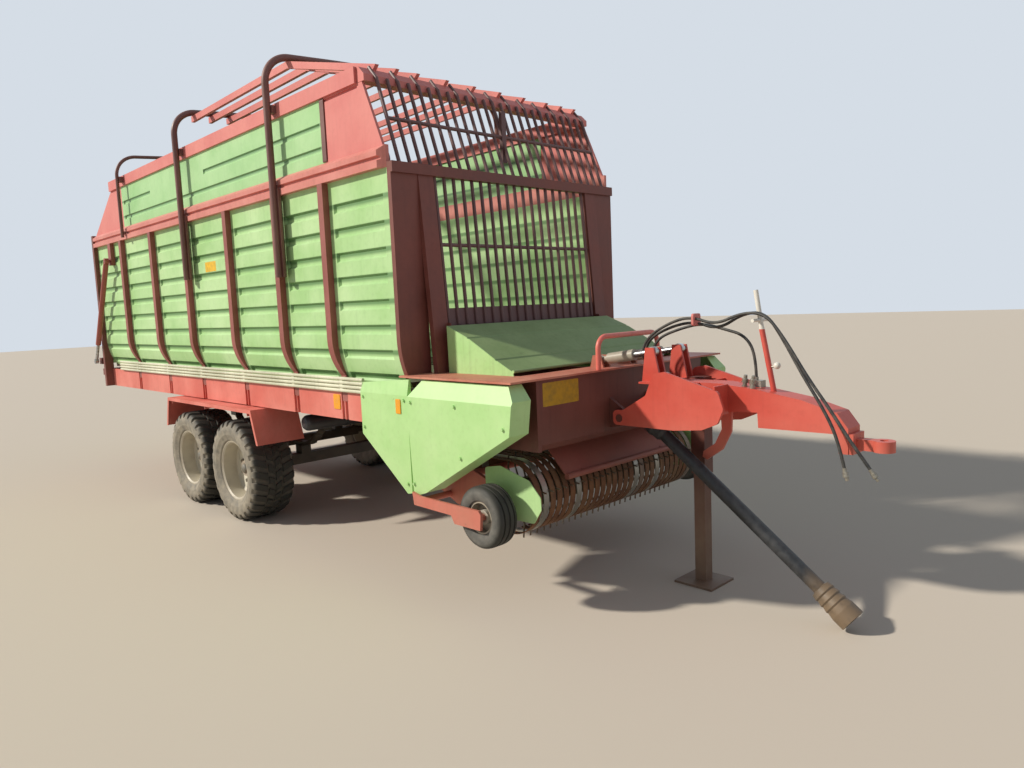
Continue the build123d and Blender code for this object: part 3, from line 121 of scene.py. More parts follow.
# The backdrop shows in the picture, in what shines and through what is clear; daylight lights the rest.
shown = add_node(tree, "ShaderNodeMath", {0: ray["Is Camera Ray"], 1: ray["Is Glossy Ray"]},
                 operation="MAXIMUM")
shown = add_node(tree, "ShaderNodeMath", {0: shown, 1: ray["Is Transmission Ray"]}, operation="MAXIMUM")
mixed = add_node(tree, "ShaderNodeMixShader", {"Fac": shown, 1: daylight.outputs["Background"], 2: backdrop})
tree.links.new(mixed, tree.nodes["World Output"].inputs["Surface"])
bpy.context.scene.world = world

FLOOR_HALF = 60.0
floor_mesh = bpy.data.meshes.new("studio_floor")
corners = [(-FLOOR_HALF, -FLOOR_HALF, 0), (FLOOR_HALF, -FLOOR_HALF, 0), (FLOOR_HALF, FLOOR_HALF, 0),
           (-FLOOR_HALF, FLOOR_HALF, 0)]
floor_mesh.from_pydata(corners, [], [(0, 1, 2, 3)])
studio_floor = bpy.data.objects.new("studio_floor", floor_mesh)
bpy.context.scene.collection.objects.link(studio_floor)
floor_paint, tree, shader = new_material("matt_floor_paint")
shader.inputs["Base Color"].default_value = linear("#CFC6B9")
shader.inputs["Roughness"].default_value = 0.9
floor_mesh.materials.append(floor_paint)


# Enamelled steel
# The wagon is sheet and box-section steel in two faded enamels, green on the walls and covers and red on
# the frame. Enamel left in the sun turns pale and chalky, streaks under the rain and rusts where it chips.
def weather(tree, place, under, tint, width_mm, low, high, share=1.0, detail=5.0, fineness=0.6):
    """A second colour laid over the first in clouds about width_mm wide: nothing where the noise is below
    low, the whole share where it is above high. Returns the colour, the cover and the noise."""
    under, tint = (linear(colour) if isinstance(colour, str) else colour for colour in (under, tint))
    noise = add_node(tree, "ShaderNodeTexNoise", {"Vector": place, "Scale": 1000 / width_mm, "Detail": detail,
                                                  "Roughness": fineness})
    cover = add_node(tree, "ShaderNodeMapRange", {"Value": noise, "From Min": low, "From Max": high,
                                                  "To Max": share})
    colour = add_node(tree, "ShaderNodeMix", {"Factor": cover, "A": under, "B": tint}, data_type="RGBA")
    return colour, cover, noise


def dull(tree, shader, noise, smooth, rough):
    """Roughness that follows the clouds of a noise, from its smooth to its rough value."""
    follows = add_node(tree, "ShaderNodeMapRange", {"Value": noise, "From Min": 0.3, "From Max": 0.7,
                                                    "To Min": smooth, "To Max": rough})
    tree.links.new(follows, shader.inputs["Roughness"])


def uneven(tree, shader, place, width_mm, detail, strength, height):
    """Bumps about width_mm wide and up to a height in metres."""
    noise = add_node(tree, "ShaderNodeTexNoise", {"Vector": place, "Scale": 1000 / width_mm, "Detail": detail,
                                                  "Roughness": 0.6})
    bumps = add_node(tree, "ShaderNodeBump", {"Height": noise, "Strength": strength, "Distance": height})
    tree.links.new(bumps, shader.inputs["Normal"])


def aged_enamel(name, paint, faded, roughness, grime_and_groove_shade="#57493A", streaks=0.15, chips=0.3, dust=0.3,
                dust_top=1.3, over=None, groove_shade_bands=()):
    """Enamel on steel: sun-faded patches 600 mm wide, rain streaks 36 mm apart and 600 mm long, scuffs of
    35 mm, rust chips of about 10 mm, dents 220 mm wide and road dust that thins out up to dust_top. over
    holds an axis, where a second paint starts along it and its two colours; the groove bands hold middle
    height, pitch and half width of pressed lines, whose upper halves are painted darker in the grime colour
    as shade, and the two ends of a gap in them along X if there is one."""
    material, tree, shader = new_material(name)
    place = add_node(tree, "ShaderNodeTexCoord", output="Object")
    axes = add_node(tree, "ShaderNodeSeparateXYZ", {"Vector": place}).node.outputs
    colour, bleached, patches = weather(tree, place, paint, faded, 600, 0.36, 0.64, detail=4.0)
    if over:
        axis, start, over_paint, over_faded = over
        along = add_node(tree, "ShaderNodeMath", {0: axes[axis]}, operation="ABSOLUTE")
        beyond = add_node(tree, "ShaderNodeMapRange", {"Value": along, "From Min": start - 0.001,
                                                       "From Max": start + 0.001})
        second = add_node(tree, "ShaderNodeMix", {"Factor": bleached, "A": linear(over_paint),
                                                  "B": linear(over_faded)}, data_type="RGBA")
        colour = add_node(tree, "ShaderNodeMix", {"Factor": beyond, "A": colour, "B": second},
                          data_type="RGBA")
    for middle, pitch, half, *gap in groove_shade_bands:
        # Height counted in pitches from far below the lowest groove, with every groove's middle at a half.
        far_below = middle - 12.5 * pitch
        steps = add_node(tree, "ShaderNodeMath", {0: axes["Z"], 1: far_below}, operation="SUBTRACT")
        steps = add_node(tree, "ShaderNodeMath", {0: steps, 1: pitch}, operation="DIVIDE")
        part = add_node(tree, "ShaderNodeMath", {0: steps}, operation="FRACT")
        # Painted shade lies from just below the middle up to the upper edge, where the groove's upper slope
        # faces down, and nowhere above the highest groove.
        reach = half / pitch
        bounds = [(part, 0.5 - 0.35 * reach, 0.5 + 0.25 * reach, 1.0),
                  (part, 0.5 + 1.15 * reach, 0.5 + 0.85 * reach, 1.0),
                  (axes["Z"], middle + 1.5 * half, middle + 1.4 * half, 0.8)]
        # line is the share of painted shade in the upper half of each groove.
        line = 1.0
        for value, outside, inside, most in bounds:
            within = add_node(tree, "ShaderNodeMapRange", {"Value": value, "From Min": outside,
                                                           "From Max": inside, "To Max": most})
            line = add_node(tree, "ShaderNodeMath", {0: line, 1: within}, operation="MULTIPLY")
        if gap:
            ahead = add_node(tree, "ShaderNodeMapRange", {"Value": axes["X"], "From Min": gap[1] - 0.004,
                                                          "From Max": gap[1] + 0.004})
            behind = add_node(tree, "ShaderNodeMapRange", {"Value": axes["X"], "From Min": gap[0] + 0.004,
                                                           "From Max": gap[0] - 0.004})
            outside = add_node(tree, "ShaderNodeMath", {0: ahead, 1: behind}, operation="MAXIMUM")
            line = add_node(tree, "ShaderNodeMath", {0: line, 1: outside}, operation="MULTIPLY")
        # The upper half of each groove is painted darker in the grime colour, as shade.
        colour = add_node(tree, "ShaderNodeMix", {"Factor": line, "A": colour, "B": linear(grime_and_groove_shade)},
                          data_type="RGBA")
    # A 500 mm pattern squeezed 14 times across and drawn out along Z makes the streaks.
    stretched = add_node(tree, "ShaderNodeMapping", {"Vector": place, "Scale": (14.0, 14.0, 0.8)})
    colour, _, _ = weather(tree, stretched, colour, grime_and_groove_shade, 500, 0.52, 0.76, streaks)
    colour, _, _ = weather(tree, place, colour, grime_and_groove_shade, 35, 0.5, 0.8, 0.12, detail=3.0)
    colour, _, _ = weather(tree, place, colour, "#5A3524", 110, 0.72 - 0.1 * chips, 0.745 - 0.1 * chips,
                           detail=10.0, fineness=0.72)
    clouds = add_node(tree, "ShaderNodeTexNoise", {"Vector": place, "Scale": 1000 / 250, "Detail": 5.0,
                                                   "Roughness": 0.6})
    low = add_node(tree, "ShaderNodeMapRange", {"Value": axes["Z"], "From Min": dust_top, "From Max": 0.15,
                                                "To Max": 2.2 * dust})
    dusty = add_node(tree, "ShaderNodeMath", {0: low, 1: clouds}, operation="MULTIPLY")
    colour = add_node(tree, "ShaderNodeMix", {"Factor": dusty, "A": colour, "B": linear("#9A8C74")},
                      data_type="RGBA")
    tree.links.new(colour, shader.inputs["Base Color"])
    dull(tree, shader, patches, roughness - 0.06, roughness + 0.14)
    uneven(tree, shader, place, 220, 3.0, 0.22, 0.008)
    return material


def give(material, *nodes):
    """Put one material on every slot of the named CAD nodes."""
    for node in nodes:
        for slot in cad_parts[node].material_slots:
            slot.material = material


# Load box
# Rolled wall sheets with pressed grooves in faded green, held by brown-red stanchions and pale red rails.
# Sheets, stanchions and rails are welded into one box; the upper half of each groove is painted darker as
# shade.
WALL_GROOVE_SHADE = (2.633, 0.174, 0.035)
wall_green = aged_enamel("sun_faded_green_wall_enamel", "#A3CF8A", "#BCDFA6", 0.5, grime_and_groove_shade="#4C7A45",
                         streaks=0.12, chips=0.05, dust=0.1, groove_shade_bands=[WALL_GROOVE_SHADE])
give(wall_green, "side_walls", "tailgate")
# Two single grooves, so their pitch is far more than the panel's height; the upper one stops at a flat
# field. Their upper halves are painted darker as shade, as on the walls.
PANEL_GROOVE_SHADE = [(3.075, 10.0, 0.022), (3.240, 10.0, 0.022, -2.4155, -1.0155)]
panel_green = aged_enamel("hazy_green_panel_enamel", "#98CA88", "#AFD8A0", 0.5, grime_and_groove_shade="#57845A",
                          streaks=0.1, chips=0.05, groove_shade_bands=PANEL_GROOVE_SHADE)
give(panel_green, "upper_panels")
give(aged_enamel("brown_red_frame_enamel", "#8A4A40", "#A2605A", 0.5, grime_and_groove_shade="#3C2620", chips=0.35, dust=0.15,
                 over=("Z", 2.826, "#C9776C", "#D98F86")), "side_frames")
coral = aged_enamel("pale_coral_enamel", "#D0736E", "#DB8881", 0.55, grime_and_groove_shade="#9A554C", chips=0.1)
give(coral, "upper_frames", "roof_beam", "roof_bars")
# The bows' dark enamel also paints the strip of shade at the front panels.
bow_and_shade_strip_enamel = aged_enamel("dark_bow_and_shade_strip_enamel", "#66403A", "#7E564F", 0.45, grime_and_groove_shade="#332420", chips=0.3)
give(bow_and_shade_strip_enamel, "roof_bows")
# Posts and frames at both ends are painted a dark brown-red that stands for the shade on the box's front.
give(aged_enamel("corner_post_enamel_painted_shade", "#6B3A31", "#814A41", 0.5, grime_and_groove_shade="#38241E", chips=0.35, dust=0.1),
     "front_frame", "rear_frame", "tailgate_frame")
# The grille bars are painted near black-brown as the shade they lie in.
give(aged_enamel("grille_enamel_painted_shade", "#5A3A3A", "#70504E", 0.45, grime_and_groove_shade="#2C2020", chips=0.35),
     "front_grille_lower", "front_grille_upper")
give(aged_enamel("chassis_red_enamel", "#D0675A", "#E08579", 0.5, grime_and_groove_shade="#6E3A30", chips=0.25, dust=0.2),
     "chassis_frame", "fenders")


# Load floor and scraper chains
# Steel-shod boards with four roller chains and slats that drag the crop to the rear. The sliding crop keeps
# the slats bright and leaves a film of dry hay dust on the boards.
def worn_steel(name, bare, dark, roughness, rust_share=0.4, dust_share=0.25):
    """Bare working steel: polished and dull patches 180 mm wide, rust in 60 mm hollows, dry plant dust in
    320 mm clouds and pits of 12 mm. Rust takes away the metal's shine."""
    material, tree, shader = new_material(name)
    place = add_node(tree, "ShaderNodeTexCoord", output="Object")
    colour, _, _ = weather(tree, place, dark, bare, 180, 0.38, 0.62, detail=6.0)
    colour, rusty, _ = weather(tree, place, colour, "#5B3B28", 60, 0.62 - 0.25 * rust_share,
                               0.72 - 0.2 * rust_share, detail=9.0, fineness=0.7)
    colour, _, _ = weather(tree, place, colour, "#8D7C5F", 320, 0.42, 0.75, 2 * dust_share)
    tree.links.new(colour, shader.inputs["Base Color"])
    for socket, clean, rusted in (("Metallic", 0.45, 0.0), ("Roughness", roughness, 0.85)):
        value = add_node(tree, "ShaderNodeMapRange", {"Value": rusty, "To Min": clean, "To Max": rusted})
        tree.links.new(value, shader.inputs[socket])
    uneven(tree, shader, place, 12, 4.0, 0.25, 0.002)
    return material


give(worn_steel("hay_polished_floor_steel", "#8C8272", "#6B5F50", 0.5, rust_share=0.2, dust_share=0.4),
     "floor")
give(worn_steel("scraper_chain_steel", "#8F8C86", "#5C5750", 0.4), "scraper_floor")
give(worn_steel("rotor_star_steel", "#6E655B", "#3E342C", 0.5, rust_share=0.6), "loading_rotor")

# Hood and drive covers
# Folded and pressed sheet bolted over the rotor and the pickup drive, in the same green as the walls.
# The hood's top is painted a darker, duller green as the shade the box casts on it, with grime streaks; its
# end plates keep the clean cover green.
cover_green = aged_enamel("clean_green_cover_enamel", "#A9D88C", "#BCE2A0", 0.42, grime_and_groove_shade="#7C9A60",
                          streaks=0.08, chips=0.12, dust=0.15)
give(cover_green, "drive_covers")
give(aged_enamel("dusty_shield_enamel", "#A2D087", "#B4DA9A", 0.5, grime_and_groove_shade="#6F8F52", chips=0.3, dust=1.4,
                 dust_top=0.62), "pickup_shields")
# The hood's top is painted darker as shade; beyond 0.86 m along Y the end plates keep the cover green.
give(aged_enamel("hood_enamel_painted_shade", "#809A64", "#98B07C", 0.6, grime_and_groove_shade="#4E5C38", streaks=0.2, chips=0.15,
                 over=("Y", 0.8605, "#A9D88C", "#BCE2A0")), "front_hood")


# Bay frame, drawbar and rail
# Heavy plate and box sections in the frame red. The drawbar is a brighter red than the cross box, whose front
# is painted dark as shade; the drawbar's lower edges are caked with pale dust, and the rail over the cross
# box is a bent tube.
# The cross box is painted dark brown below 1.439 m as the shade on its front; its lit flange above keeps the
# frame red.
give(aged_enamel("cross_box_enamel_painted_shade", "#5E3028", "#704037", 0.5, grime_and_groove_shade="#2E1D17", streaks=0.3, chips=0.4,
                 dust=0.1, over=("Z", 1.439, "#B3604F", "#CC8A73")), "bay_frame")
give(aged_enamel("drawbar_red_enamel", "#C74E41", "#D36456", 0.42, grime_and_groove_shade="#7A2E26", streaks=0.1, chips=0.25,
                 dust=0.8, dust_top=1.20), "drawbar")
give(aged_enamel("rail_coral_enamel", "#DC6E62", "#E78B80", 0.4, grime_and_groove_shade="#8A3E35", chips=0.15), "handrail")
give(aged_enamel("holder_enamel", "#C4473B", "#D45F52", 0.45, grime_and_groove_shade="#7A2E26", chips=0.2,
                 over=("Z", 1.692, "#D9D6CC", "#EDEBE3")), "hose_holder")
# The jack is painted near black-brown as the deep shade it stands in.
give(aged_enamel("jack_enamel_painted_shade", "#542920", "#63342B", 0.5, grime_and_groove_shade="#2E1D17", chips=0.5, dust=0.4,
                 dust_top=0.9), "jack_sleeve", "jack_leg")
give(aged_enamel("pickup_frame_enamel", "#C65B4E", "#D37466", 0.5, grime_and_groove_shade="#5C3026", chips=0.5, dust=0.4),
     "pickup_frame")
give(aged_enamel("wind_guard_enamel", "#7C382F", "#90493F", 0.5, grime_and_groove_shade="#3C211B", chips=0.5, dust=0.3),
     "wind_guard")

# Cylinders, pipes and running gear under the box
# Lift and drawbar cylinders have painted barrels over chromed rods, and galvanised pipes feed them along
# the wall foot. Axles, springs and the air tank are black chassis enamel under a coat of dust.
give(aged_enamel("red_cylinder_enamel", "#984A40", "#AC6055", 0.4, grime_and_groove_shade="#4A2A24"),
     "tailgate_lift_barrels")
give(aged_enamel("grey_cylinder_enamel", "#9A9486", "#B4AE9F", 0.4, grime_and_groove_shade="#5E584A", chips=0.1),
     "drawbar_cylinder_barrels")
give(aged_enamel("zinc_pipe_coating", "#C4C6AC", "#DEDFC8", 0.38, grime_and_groove_shade="#7C7C66", streaks=0.4, chips=0.0,
                 dust=0.1), "hydraulic_pipes")
give(aged_enamel("black_chassis_enamel", "#262421", "#37332F", 0.5, grime_and_groove_shade="#1C1A18", chips=0.3, dust=0.3),
     "axles", "springs")
give(aged_enamel("black_tank_enamel", "#232426", "#33353A", 0.35, grime_and_groove_shade="#191816", chips=0.2, dust=0.05),
     "air_tank")
chrome, tree, shader = new_material("hard_chrome_rod")
place = add_node(tree, "ShaderNodeTexCoord", output="Object")
colour, _, film = weather(tree, place, "#C9CCCE", "#8D8C88", 40, 0.4, 0.7, detail=4.0)
tree.links.new(colour, shader.inputs["Base Color"])
shader.inputs["Metallic"].default_value = 1.0
dull(tree, shader, film, 0.14, 0.38)
give(chrome, "tailgate_lift_rods", "drawbar_cylinder_rods")


# Pickup reel and stripper bands
# Twenty-eight hoops of spring steel strip the crop off the tines. They rust where nothing touches them, and
# a few run bright where the crop still polishes them; dry dust packs between them.
BAND_PITCH = 0.06286
rusty_band, tree, shader = new_material("crop_worn_band_steel")
place = add_node(tree, "ShaderNodeTexCoord", output="Object")
across = add_node(tree, "ShaderNodeSeparateXYZ", {"Vector": place}, output="Y")
band_number = add_node(tree, "ShaderNodeMath", {0: across, 1: BAND_PITCH}, operation="DIVIDE")
band_number = add_node(tree, "ShaderNodeMath", {0: band_number}, operation="FLOOR")
band_tone = add_node(tree, "ShaderNodeTexWhiteNoise", {"W": band_number}, noise_dimensions="1D")
# About one band in five is bright.
bright = add_node(tree, "ShaderNodeMapRange", {"Value": band_tone, "From Min": 0.78, "From Max": 0.82})
colour, _, _ = weather(tree, place, "#5C3A26", "#7C5636", 90, 0.35, 0.68, detail=7.0, fineness=0.7)
colour = add_node(tree, "ShaderNodeMix", {"Factor": bright, "A": colour, "B": linear("#9C988E")},
                  data_type="RGBA")
colour, _, _ = weather(tree, place, colour, "#93805F", 260, 0.5, 0.8, 0.4, detail=4.0)
tree.links.new(colour, shader.inputs["Base Color"])
for socket, rusted, polished in (("Metallic", 0.1, 0.7), ("Roughness", 0.75, 0.42)):
    value = add_node(tree, "ShaderNodeMapRange", {"Value": bright, "To Min": rusted, "To Max": polished})
    tree.links.new(value, shader.inputs[socket])
uneven(tree, shader, place, 10, 4.0, 0.3, 0.002)
give(rusty_band, "stripper_bands")
give(worn_steel("spring_tine_steel", "#7D766B", "#4A4037", 0.42, rust_share=0.5), "pickup_reel")


# Wheels
# Wide low-pressure tyres on dished steel rims. Rubber greys with road dust on the flanks while the tread
# stays dark, and the cream rim enamel collects a brown ring where water stands against the bead.
def grid_faces(rows, columns, closed_rows, closed_columns):
    """Quads of a grid of points, joined round where the rows or the columns close on themselves."""
    row, column = np.meshgrid(np.arange(rows if closed_rows else rows - 1),
                              np.arange(columns if closed_columns else columns - 1), indexing="ij")
    below, beside = (row + 1) % rows, (column + 1) % columns
    quads = np.stack([row * columns + column, row * columns + beside, below * columns + beside,
                      below * columns + column], axis=-1)
    return quads.reshape(-1, 4)


def surface_piece(name, vertices, faces, material, body, sharp=32.0):
    """Mesh piece from arrays of points and quads: seams and poles merged, faces turned outwards, edges
    steeper than the sharp angle kept crisp, riding on a body of the wagon."""
    mesh = bpy.data.meshes.new(name)
    mesh.from_pydata(vertices.reshape(-1, 3).tolist(), [], faces.tolist())
    shell = bmesh.new()
    shell.from_mesh(mesh)
    bmesh.ops.remove_doubles(shell, verts=shell.verts, dist=2e-5)
    bmesh.ops.recalc_face_normals(shell, faces=shell.faces)
    shell.to_mesh(mesh)
    shell.free()
    mesh.shade_smooth()
    mesh.set_sharp_from_angle(angle=math.radians(sharp))
    mesh.materials.append(material)
    piece = bpy.data.objects.new(name, mesh)
    bpy.context.scene.collection.objects.link(piece)
    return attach(piece, body)


def wheel_centre(node):
    """Middle of a wheel's CAD solid, in metres."""
    low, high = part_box(node)
    return (low + high) / 2


def from_axle(tree, place, centre):
    """Distance from a wheel's axle line, in metres."""
    moved = add_node(tree, "ShaderNodeVectorMath", {0: place, 1: centre}, operation="SUBTRACT")
    flat = add_node(tree, "ShaderNodeVectorMath", {0: moved, 1: (1.0, 0.0, 1.0)}, operation="MULTIPLY")
    return add_node(tree, "ShaderNodeVectorMath", {0: flat}, operation="LENGTH")


def tyre_rubber(name, centre, tread_from, tread_full, flanks):
    """Vulcanised rubber: near black on the tread, grey-brown dust in 90 mm clouds on the flanks, and a grain
    drawn 8 mm coarse so that it shows."""
    material, tree, shader = new_material(name)
    place = add_node(tree, "ShaderNodeTexCoord", output="Object")
    radius = from_axle(tree, place, centre)
    flank, _, clouds = weather(tree, place, *flanks, 90, 0.35, 0.7, detail=6.0)
    tread = add_node(tree, "ShaderNodeMix", {"Factor": clouds, "A": linear("#23231F"),
                                             "B": linear("#38362F")}, data_type="RGBA")
    on_tread = add_node(tree, "ShaderNodeMapRange", {"Value": radius, "From Min": tread_from,
                                                     "From Max": tread_full})
    colour = add_node(tree, "ShaderNodeMix", {"Factor": on_tread, "A": flank, "B": tread},
                      data_type="RGBA")
    tree.links.new(colour, shader.inputs["Base Color"])
    shader.inputs["IOR"].default_value = 1.52
    dull(tree, shader, clouds, 0.62, 0.85)
    uneven(tree, shader, place, 8, 3.0, 0.15, 0.001)
    return material


def rim_enamel(name, centre, bead, colours):
    """Cream enamel on a pressed rim: dusty clouds of 120 mm, a brown water ring inside the bead radius and
    painted brown shade in the deep dish round the hub."""
    material, tree, shader = new_material(name)
    place = add_node(tree, "ShaderNodeTexCoord", output="Object")
    radius = from_axle(tree, place, centre)
    colour, _, clouds = weather(tree, place, *colours, 120, 0.35, 0.68, detail=6.0)
    ring = add_node(tree, "ShaderNodeMapRange", {"Value": radius, "From Min": 0.72 * bead,
                                                 "From Max": 1.04 * bead, "To Max": 1.1})
    ring = add_node(tree, "ShaderNodeMath", {0: ring, 1: clouds}, operation="MULTIPLY")
    colour = add_node(tree, "ShaderNodeMix", {"Factor": ring, "A": colour, "B": linear("#7B6A50")},
                      data_type="RGBA")
    # The brown painted round the hub stands for the shade inside the deep dish.
    hub_shade = add_node(tree, "ShaderNodeMapRange", {"Value": radius, "From Min": 0.36 * bead,
                                                "From Max": 0.24 * bead, "To Max": 0.7})
    colour = add_node(tree, "ShaderNodeMix", {"Factor": hub_shade, "A": colour, "B": linear("#6F5440")},
                      data_type="RGBA")
    tree.links.new(colour, shader.inputs["Base Color"])
    dull(tree, shader, clouds, 0.35, 0.6)
    return material


TREAD_DEPTH = 0.016
LUGS = 26
# One lug's steps round the tyre in shares of a lug's pitch, and how far each is sunk into the gap.
LUG_STEPS = np.array([0.00, 0.05, 0.30, 0.55, 0.60, 0.73, 0.87])
LUG_GAP = np.array([1.0, 0.0, 0.0, 0.0, 1.0, 1.0, 1.0])
# Half outline from the middle of the tread to the bead: offset and radius in mm, share of the round groove,
# share of the gap between lugs, and the turn of the pattern in lugs.
TYRE_OUTLINE = np.array([
    (4, 472.5, 1, 0, 0.30), (9, 472.5, 0, 1, 0.50), (34, 472.2, 0, 1, 0.62), (58, 471.8, 0, 1, 0.74),
    (63, 471.6, 1, 0, 0.60), (73, 471.3, 1, 0, 0.20), (78, 471.1, 0, 1, 0.00), (104, 470.4, 0, 1, 0.10),
    (132, 469.4, 0, 1, 0.20), (156, 468.2, 0, 1, 0.28), (172, 465.0, 0, 1, 0.32), (185, 457.0, 0, 1, 0.34),
    (193, 446.0, 0, 1, 0.34), (198, 432.0, 0, 0.9, 0.34), (202, 419.0, 0, 0.6, 0.34),
    (204, 411.0, 0, 0, 0.34), (208, 398.0, 0, 0, 0.3), (210, 380.0, 0, 0, 0.2), (209, 362.0, 0, 0, 0.1),
    (206.5, 349.0, 0, 0, 0), (207.5, 343.0, 0, 0, 0), (205.5, 337.0, 0, 0, 0), (202, 329.0, 0, 0, 0),
    (196, 315.0, 0, 0, 0), (189, 301.0, 0, 0, 0), (187.5, 293.0, 0, 0, 0), (183, 287.0, 0, 0, 0),
    (176, 280.0, 0, 0, 0), (168, 274.5, 0, 0, 0), (160, 270.5, 0, 0, 0),
])


def lugged_tyre(centre):
    """Tyre surface: point = centre + offset along Y + radius round the axle. Each point is sunk along the
    outline's own normal by the tread depth times the larger of the round groove's share and the lug gap's."""
    half = TYRE_OUTLINE * [0.001, 0.001, 1, 1, 1]
    outline = np.concatenate([half[::-1] * [-1, 1, 1, 1, 1], half])
    outline[:len(half), 4] += 0.5
    offset, radius, groove, gap, turn = outline.T
    run = np.gradient(np.stack([offset, radius]), axis=1)
    normal = np.stack([-run[1], run[0]]) / np.hypot(run[0], run[1])
    sunk = TREAD_DEPTH * np.maximum(groove[None, :], np.tile(LUG_GAP, LUGS)[:, None] * gap[None, :])
    steps = (np.repeat(np.arange(LUGS), len(LUG_STEPS)) + np.tile(LUG_STEPS, LUGS))[:, None]
    angle = 2 * np.pi * (steps + turn[None, :]) / LUGS
    y = offset[None, :] - sunk * normal[0][None, :]
    r = radius[None, :] - sunk * normal[1][None, :]
    points = np.stack([centre[0] + r * np.cos(angle), centre[1] + y, centre[2] + r * np.sin(angle)], axis=-1)
    return points, grid_faces(len(steps), len(offset), True, True)


def turned_surface(profile, start, axis, around=48, flats=0):
    """Surface of revolution: point = start + distance along the axis + radius round it. With flats the
    radius of a ring grows from a flat's middle to its edges as one over the cosine of the angle between."""
    axis = np.array(Vector(axis).normalized())
    side = np.array(Vector(axis).orthogonal().normalized())
    other = np.cross(axis, side)
    profile = np.array(profile, float)
    angle = np.linspace(0, 2 * np.pi, around, endpoint=False)
    growth = np.ones(around)
    if flats:
        part = 2 * np.pi / flats
        growth = 1 / np.cos((angle + part / 2) % part - part / 2)
    ring = (np.cos(angle)[:, None] * side + np.sin(angle)[:, None] * other) * growth[:, None]
    points = (np.array(start, float) + profile[:, 0][:, None, None] * axis
              + profile[:, 1][:, None, None] * ring[None, :, :])
    return points, grid_faces(len(profile), around, False, True)


def together(shapes):
    """Several (points, quads) surfaces as one pair of arrays."""
    points = [shape[0].reshape(-1, 3) for shape in shapes]
    starts = np.cumsum([0] + [len(p) for p in points[:-1]])
    return np.concatenate(points), np.concatenate([shape[1] + s for shape, s in zip(shapes, starts)])


def bolt_head(place, axis, flat_width, height):
    """Washer, chamfered hexagon and slightly domed top as one turned outline with six flats."""
    half = flat_width / 2
    washer_top = 0.18 * height
    washer = turned_surface([(0, 0), (0, 1.35 * half), (washer_top, 1.3 * half), (washer_top, 0.9 * half)],
                            place, axis, 18)
    head = turned_surface([(washer_top, 0.5 * half), (washer_top, half), (0.8 * height, half),
                           (height, 0.88 * half), (1.02 * height, 0)], place, axis, 12, flats=6)
    return together([washer, head])


# Nuts on the rim's disc, and the hub cap's outline as (distance from the wheel's middle, radius).
NUTS = 8
NUT_CIRCLE = 0.137
NUT_FLATS = 0.032
NUT_HEIGHT = 0.022
DISC_FACE = 0.026
HUB_CAP = [(0.049, 0.034), (0.049, 0.046), (0.055, 0.050), (0.076, 0.048), (0.088, 0.040), (0.094, 0.026),
           (0.096, 0.012), (0.097, 0.0)]
zinc_bolt = worn_steel("dull_zinc_bolt_steel", "#8A8880", "#6B675E", 0.45, rust_share=0.35,
                       dust_share=0.15)
for place_name in ("front", "rear"):
    axle_line = wheel_centre(f"tyre_{place_name}_right")
    rubber = tyre_rubber(f"dusty_tyre_rubber_{place_name}", axle_line, 0.425, 0.462,
                         ("#6F6B62", "#A09888"))
    enamel = rim_enamel(f"cream_rim_enamel_{place_name}", axle_line, 0.262, ("#D2CDBC", "#ECE9DB"))
    for side_name, outward in (("right", -1), ("left", 1)):
        body = f"wheel_{place_name}_{side_name}"
        centre = np.array(wheel_centre(f"tyre_{place_name}_{side_name}"))
        tyre = surface_piece(f"lugged_tyre_{place_name}_{side_name}", *lugged_tyre(centre), rubber, body,
                             sharp=28.0)
        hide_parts(f"tyre_{place_name}_{side_name}")
        give(enamel, f"rim_{place_name}_{side_name}")
        axis = (0, outward, 0)
        disc = centre + [0, DISC_FACE * outward, 0]
        turns = (np.arange(NUTS) + 0.5) * 2 * math.pi / NUTS
        nuts = [bolt_head(disc + NUT_CIRCLE * np.array([math.cos(turn), 0, math.sin(turn)]), axis,
                          NUT_FLATS, NUT_HEIGHT) for turn in turns]
        cap = turned_surface(HUB_CAP, centre, axis)
        surface_piece(f"wheel_nuts_{place_name}_{side_name}", *together(nuts), zinc_bolt, body)
        surface_piece(f"hub_cap_{place_name}_{side_name}", *cap, zinc_bolt, body)

# Gauge wheels
# Small solid-rubber wheels that carry the pickup over the ground, each with three round grooves in its
# tread and a grey steel disc.
# Offset along the axle and radius, in mm, from one edge of the bore round to the same edge.
GAUGE_OUTLINE = [
    (-62, 102), (-72, 110), (-78, 128), (-80, 150), (-77, 170), (-70, 184), (-60, 191), (-46, 194),
    (-44, 186), (-36, 186), (-34, 195), (-8, 195), (-6, 187), (6, 187), (8, 195), (34, 195), (36, 186),
    (44, 186), (46, 194), (60, 191), (70, 184), (77, 170), (80, 150), (78, 128), (72, 110), (62, 102),
    (-62, 102),
]
gauge_line = wheel_centre("gauge_tyre_right")
gauge_rubber = tyre_rubber("dusty_solid_rubber", gauge_line, 0.160, 0.186, ("#4A4A47", "#72706A"))
gauge_enamel = rim_enamel("grey_gauge_rim_enamel", gauge_line, 0.100, ("#A9A497", "#CBC7BB"))
for side_name, outward in (("right", -1), ("left", 1)):
    centre = np.array(wheel_centre(f"gauge_tyre_{side_name}"))
    ring = turned_surface(np.array(GAUGE_OUTLINE) * 0.001, centre, (0, outward, 0), 96)
    tyre = surface_piece(f"grooved_tyre_{side_name}", *ring, gauge_rubber, f"gauge_wheel_{side_name}")
    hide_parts(f"gauge_tyre_{side_name}")
    give(gauge_enamel, f"gauge_rim_{side_name}")

# Bolts
# Hexagon bolts hold the drive covers to their brackets, painted over with them, and zinc-plated ones hold
# the right-hand stanchion feet to the side rail, each on its own washer.
BOX_FRONT = 1.8845
